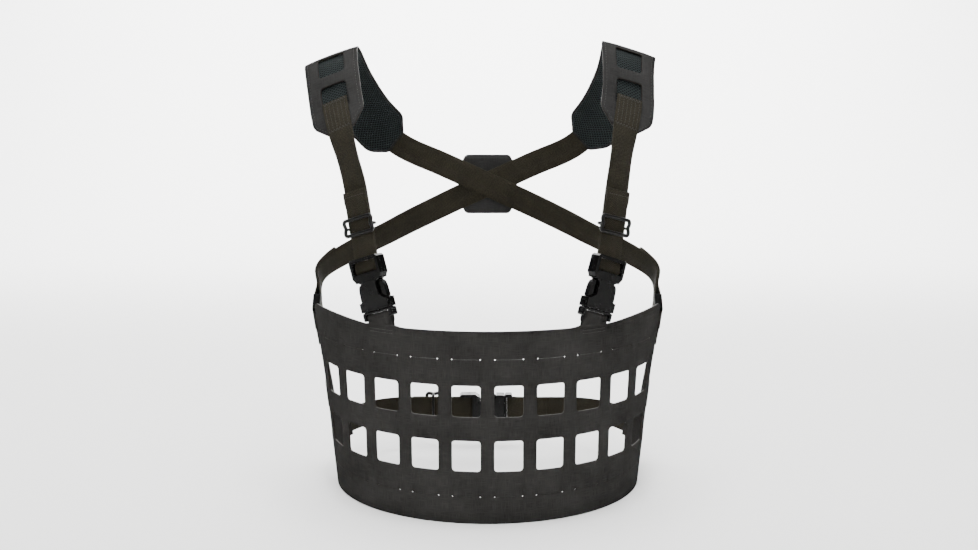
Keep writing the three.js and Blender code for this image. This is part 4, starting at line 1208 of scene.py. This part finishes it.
def slider_piece(prefix, place, front=3.9):
    end = [(11.8, 7.0), (13.9, 7.1), (15.3, 5.8), (15.4, 3.4), (14.5, 1.2), (14.3, 0.0)]
    end += [(x, -z) for x, z in reversed(end[:-1])]
    ring = [(x, z) for x, z in end] + [(-x, -z) for x, z in end]
    bm = bmesh.new()
    ring_mesh = wire([place.at(front, z, x) for x, z in ring], 1.75, True, "ring")
    path = [(-14.3, front), (-14.9, front - 2), (-14.6, -2.2), (-13.3, -3.3), (-10, -3.4), (0, -3.4)]
    path += [(-x, out) for x, out in reversed(path[:-1])]
    bar_mesh = wire([place.at(out, 0, x) for x, out in path], 1.3, False, "bar")
    for mesh in (ring_mesh, bar_mesh):
        bm.from_mesh(mesh)
        bpy.data.meshes.remove(mesh)
    bmesh.ops.scale(bm, vec=(1000, 1000, 1000), verts=bm.verts)
    bmesh.ops.remove_doubles(bm, verts=bm.verts, dist=0.01)
    bmesh.ops.recalc_face_normals(bm, faces=bm.faces)
    body = body_of(f"{prefix}_slider_travel")
    obj = finished(f"{prefix}_strap_slider", bm, [slider_plastic], body=body)
    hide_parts(f"{prefix}_slider")


for name in SIDES:
    strap = straps[name]
    slider_piece(name, Frame(strap.at(0, 35.5), strap.along, strap.back, strap.side))
waist_place = Frame(waist_buckle.at(0, 82.5), waist_buckle.along, waist_buckle.back, waist_buckle.side)
slider_piece("waist", waist_place, 4.6)

# %% [markdown]
# ## The patch behind the back
# A square of the pad laminate with cut corners holds the two straps where they cross.

# %% Cross patch
def cut_square(half):
    """The corners of a square whose own corners are cut off."""
    near, far = half / 2, half * 0.75
    return [
        (-half, -near), (-far, -half), (far, -half), (half, -near),
        (half, near), (far, half), (-far, half), (-half, near),
    ]


patch = new_sheet()
HALF_PATCH = 31.0
rounded(patch, cut_square(HALF_PATCH), 3)
cut_lines(patch, 0, spaced(-26, 26, 5))
cut_lines(patch, 1, spaced(-26, 26, 5))
keep_flat(patch)
patch_area = sum(f.calc_area() for f in patch.faces)
PATCH_OUT, PATCH_HEIGHT = 93.45, PANEL_HEIGHT + 105
for vert in patch.verts:
    x, z = vert.co.x, vert.co.y
    vert.co = Vector((-x, PATCH_OUT - 0.0008 * x * x - 0.0003 * z * z, PATCH_HEIGHT + z))
outward_first(patch, Vector((0, 1, 0)))
back_patch = finished("crossing_patch", patch, [pad_cloth, cut_edge])
thicken(back_patch, LAMINATE, 1)
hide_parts("back_cross_patch")

# %% [markdown]
# ## Stitching
# Heavy bonded thread holds the webbing to the pads and tongues. One stitch is a small flattened bead; a row
# of them follows the surface, each turned along its row. Real beads catch light and shade each other, which
# a dashed line in a texture would not.

# %% One stitch, and rows of them on a surface
def stitches(bm, spots, length=2.3, thick=0.62):
    """spots is a list of (point, direction of the row, outward)."""
    for point, along, out in spots:
        side = out.cross(along).normalized()
        lift = along.cross(side).normalized()
        turn = Matrix((along.normalized(), side, lift)).transposed().to_4x4()
        shape = Matrix.Diagonal((length, thick, thick * 0.7, 1))
        place = Matrix.Translation(point) @ turn @ shape
        bmesh.ops.create_uvsphere(bm, u_segments=6, v_segments=4, radius=0.5, matrix=place)


def row(surface, start, stop, pitch=2.9):
    """Stitches on surface(a, b) -> (point, outward), in a straight row of its flat coordinates."""
    start, stop = Vector(start), Vector(stop)
    count = max(round((stop - start).length / pitch), 1)
    spots = []
    for i in range(count):
        a, b = start.lerp(stop, (i + 0.2) / count), start.lerp(stop, (i + 0.8) / count)
        (p, n), (q, _) = surface(*a), surface(*b)
        spots.append(((p + q) / 2, q - p, n))
    return spots


def zigzag(surface, start, stop, reach, pitch):
    start, stop = Vector(start), Vector(stop)
    side = Vector((-(stop - start).y, (stop - start).x)).normalized() * reach / 2
    count = max(round((stop - start).length / pitch), 2)
    spots = []
    for i in range(count):
        a = start.lerp(stop, i / count) + side * (1 if i % 2 else -1)
        b = start.lerp(stop, (i + 1) / count) - side * (1 if i % 2 else -1)
        (p, n), (q, _) = surface(*a), surface(*b)
        spots.append(((p + q) / 2, q - p, n))
    return spots


# %% Stitches on the panel: tab roots and tongues
def on_panel(u, v, out=0.75):
    angle = panel_angle(u, v)
    return panel_point(u, v, out), Vector((math.sin(angle), -math.cos(angle), 0))


def tongue(u, v):
    return on_panel(u, v, 2.3)


def slope(u, v):
    return on_panel(u, v, 2.35)


panel_rows = bmesh.new()
for s in SIDES.values():
    for height in (174.6, 171.8):
        root = row(on_panel, (s * TAB_AT - 12, height), (s * TAB_AT + 12, height), 2.2)
        stitches(panel_rows, root, 1.9, 0.5)
    for past in (0, 6, 12, 18):
        u = s * (REAR_LINE + past)
        tack = zigzag(tongue, (u, WAIST_HEIGHT - 11), (u, WAIST_HEIGHT + 11), 2.4, 1.9)
        stitches(panel_rows, tack, 2.6, 0.5)
    for down in (12, 15):
        a = (s * (REAR_TAB_AT - down * 0.6 - 8), REAR_EDGE - down * 0.7 + 9.5)
        b = (s * (REAR_TAB_AT - down * 0.6 + 7.5), REAR_EDGE - down * 0.7 - 9)
        stitches(panel_rows, row(slope, a, b, 2.4), 2.0, 0.5)
finished("panel_stitches", panel_rows, [thread_cloth])

# %% Stitches on the straps: where they are sewn on the pads, and their hems
for name in SIDES:
    rows = bmesh.new()
    route, strap = routes[name], straps[name]

    def on_web(along, across, route=route):
        point, _, normal, side = route.at(PAD_START + along)
        return point + normal * (-LAYER + 0.72) + side * across, normal

    def on_cover(along, across, route=route):
        point, _, normal, side = route.at(PAD_START + along)
        return point + normal * (COVER_OUT + 0.72 + crown(across)) + side * across, normal

    for end in (0, 1):
        def web(a, b, end=end):
            return on_web(PAD_LENGTH - a if end else a, b)

        for across in (-10, -6, -2, 2, 6, 10):
            stitches(rows, row(web, (5, across), (31, across), 2.7), 2.1, 0.55)
        for place in (3.2, 33):
            stitches(rows, zigzag(web, (place, -11.4), (place, 11.4), 3.0, 1.5), 3.2, 0.5)
    edge = PAD_WIDTH / 2 - 3.2
    tip = edge - 11.6
    far, end_row = PAD_LENGTH - 16, PAD_LENGTH - 3.2
    loop = [(16, edge), (far, edge), (end_row, tip), (end_row, -tip)]
    loop += [(far, -edge), (16, -edge), (3.2, -tip), (3.2, tip)]
    for i in (0, 1, 3, 4, 5, 7):
        a, b = loop[i], loop[(i + 1) % 8]
        stitches(rows, row(on_cover, a, b, 3.3), 2.4, 0.42)

    def hem(a, b, strap=strap):
        return strap.at(LAYER + STEP + 0.66, a, b), -strap.back

    stitches(rows, row(hem, (63.2, -11), (63.2, 11), 2.4), 2.0, 0.5)
    finished(f"{name}_strap_stitches", rows, [thread_cloth])

# %% Stitches behind: the crossing patch and the waist strap
def on_patch(x, z):
    out = PATCH_OUT + 0.74 - 0.0008 * x * x - 0.0003 * z * z
    return Vector((-x, out, PATCH_HEIGHT + z)), Vector((0, 1, 0))


rows = bmesh.new()
loop = cut_square(27.0)
for a, b in zip(loop, loop[1:] + loop[:1]):
    stitches(rows, row(on_patch, a, b, 3.0), 2.2, 0.45)
for a, b in (((-20, -20), (20, 20)), ((-20, 20), (20, -20))):
    stitches(rows, row(on_patch, a, b, 3.0), 2.2, 0.45)


def on_waist_left(z, across):
    return hook.at(0.78, -z, across), -hook.back


def on_waist_hem(z, across):
    return hook.at(LAYER + STEP + 0.66, 43 + z, across), -hook.back


for z in (32, 36):
    stitches(rows, zigzag(on_waist_left, (z, -11), (z, 11), 2.6, 1.7), 2.8, 0.5)
stitches(rows, row(on_waist_hem, (56.5, -11), (56.5, 11), 2.4), 2.0, 0.5)
finished("back_stitches", rows, [thread_cloth])
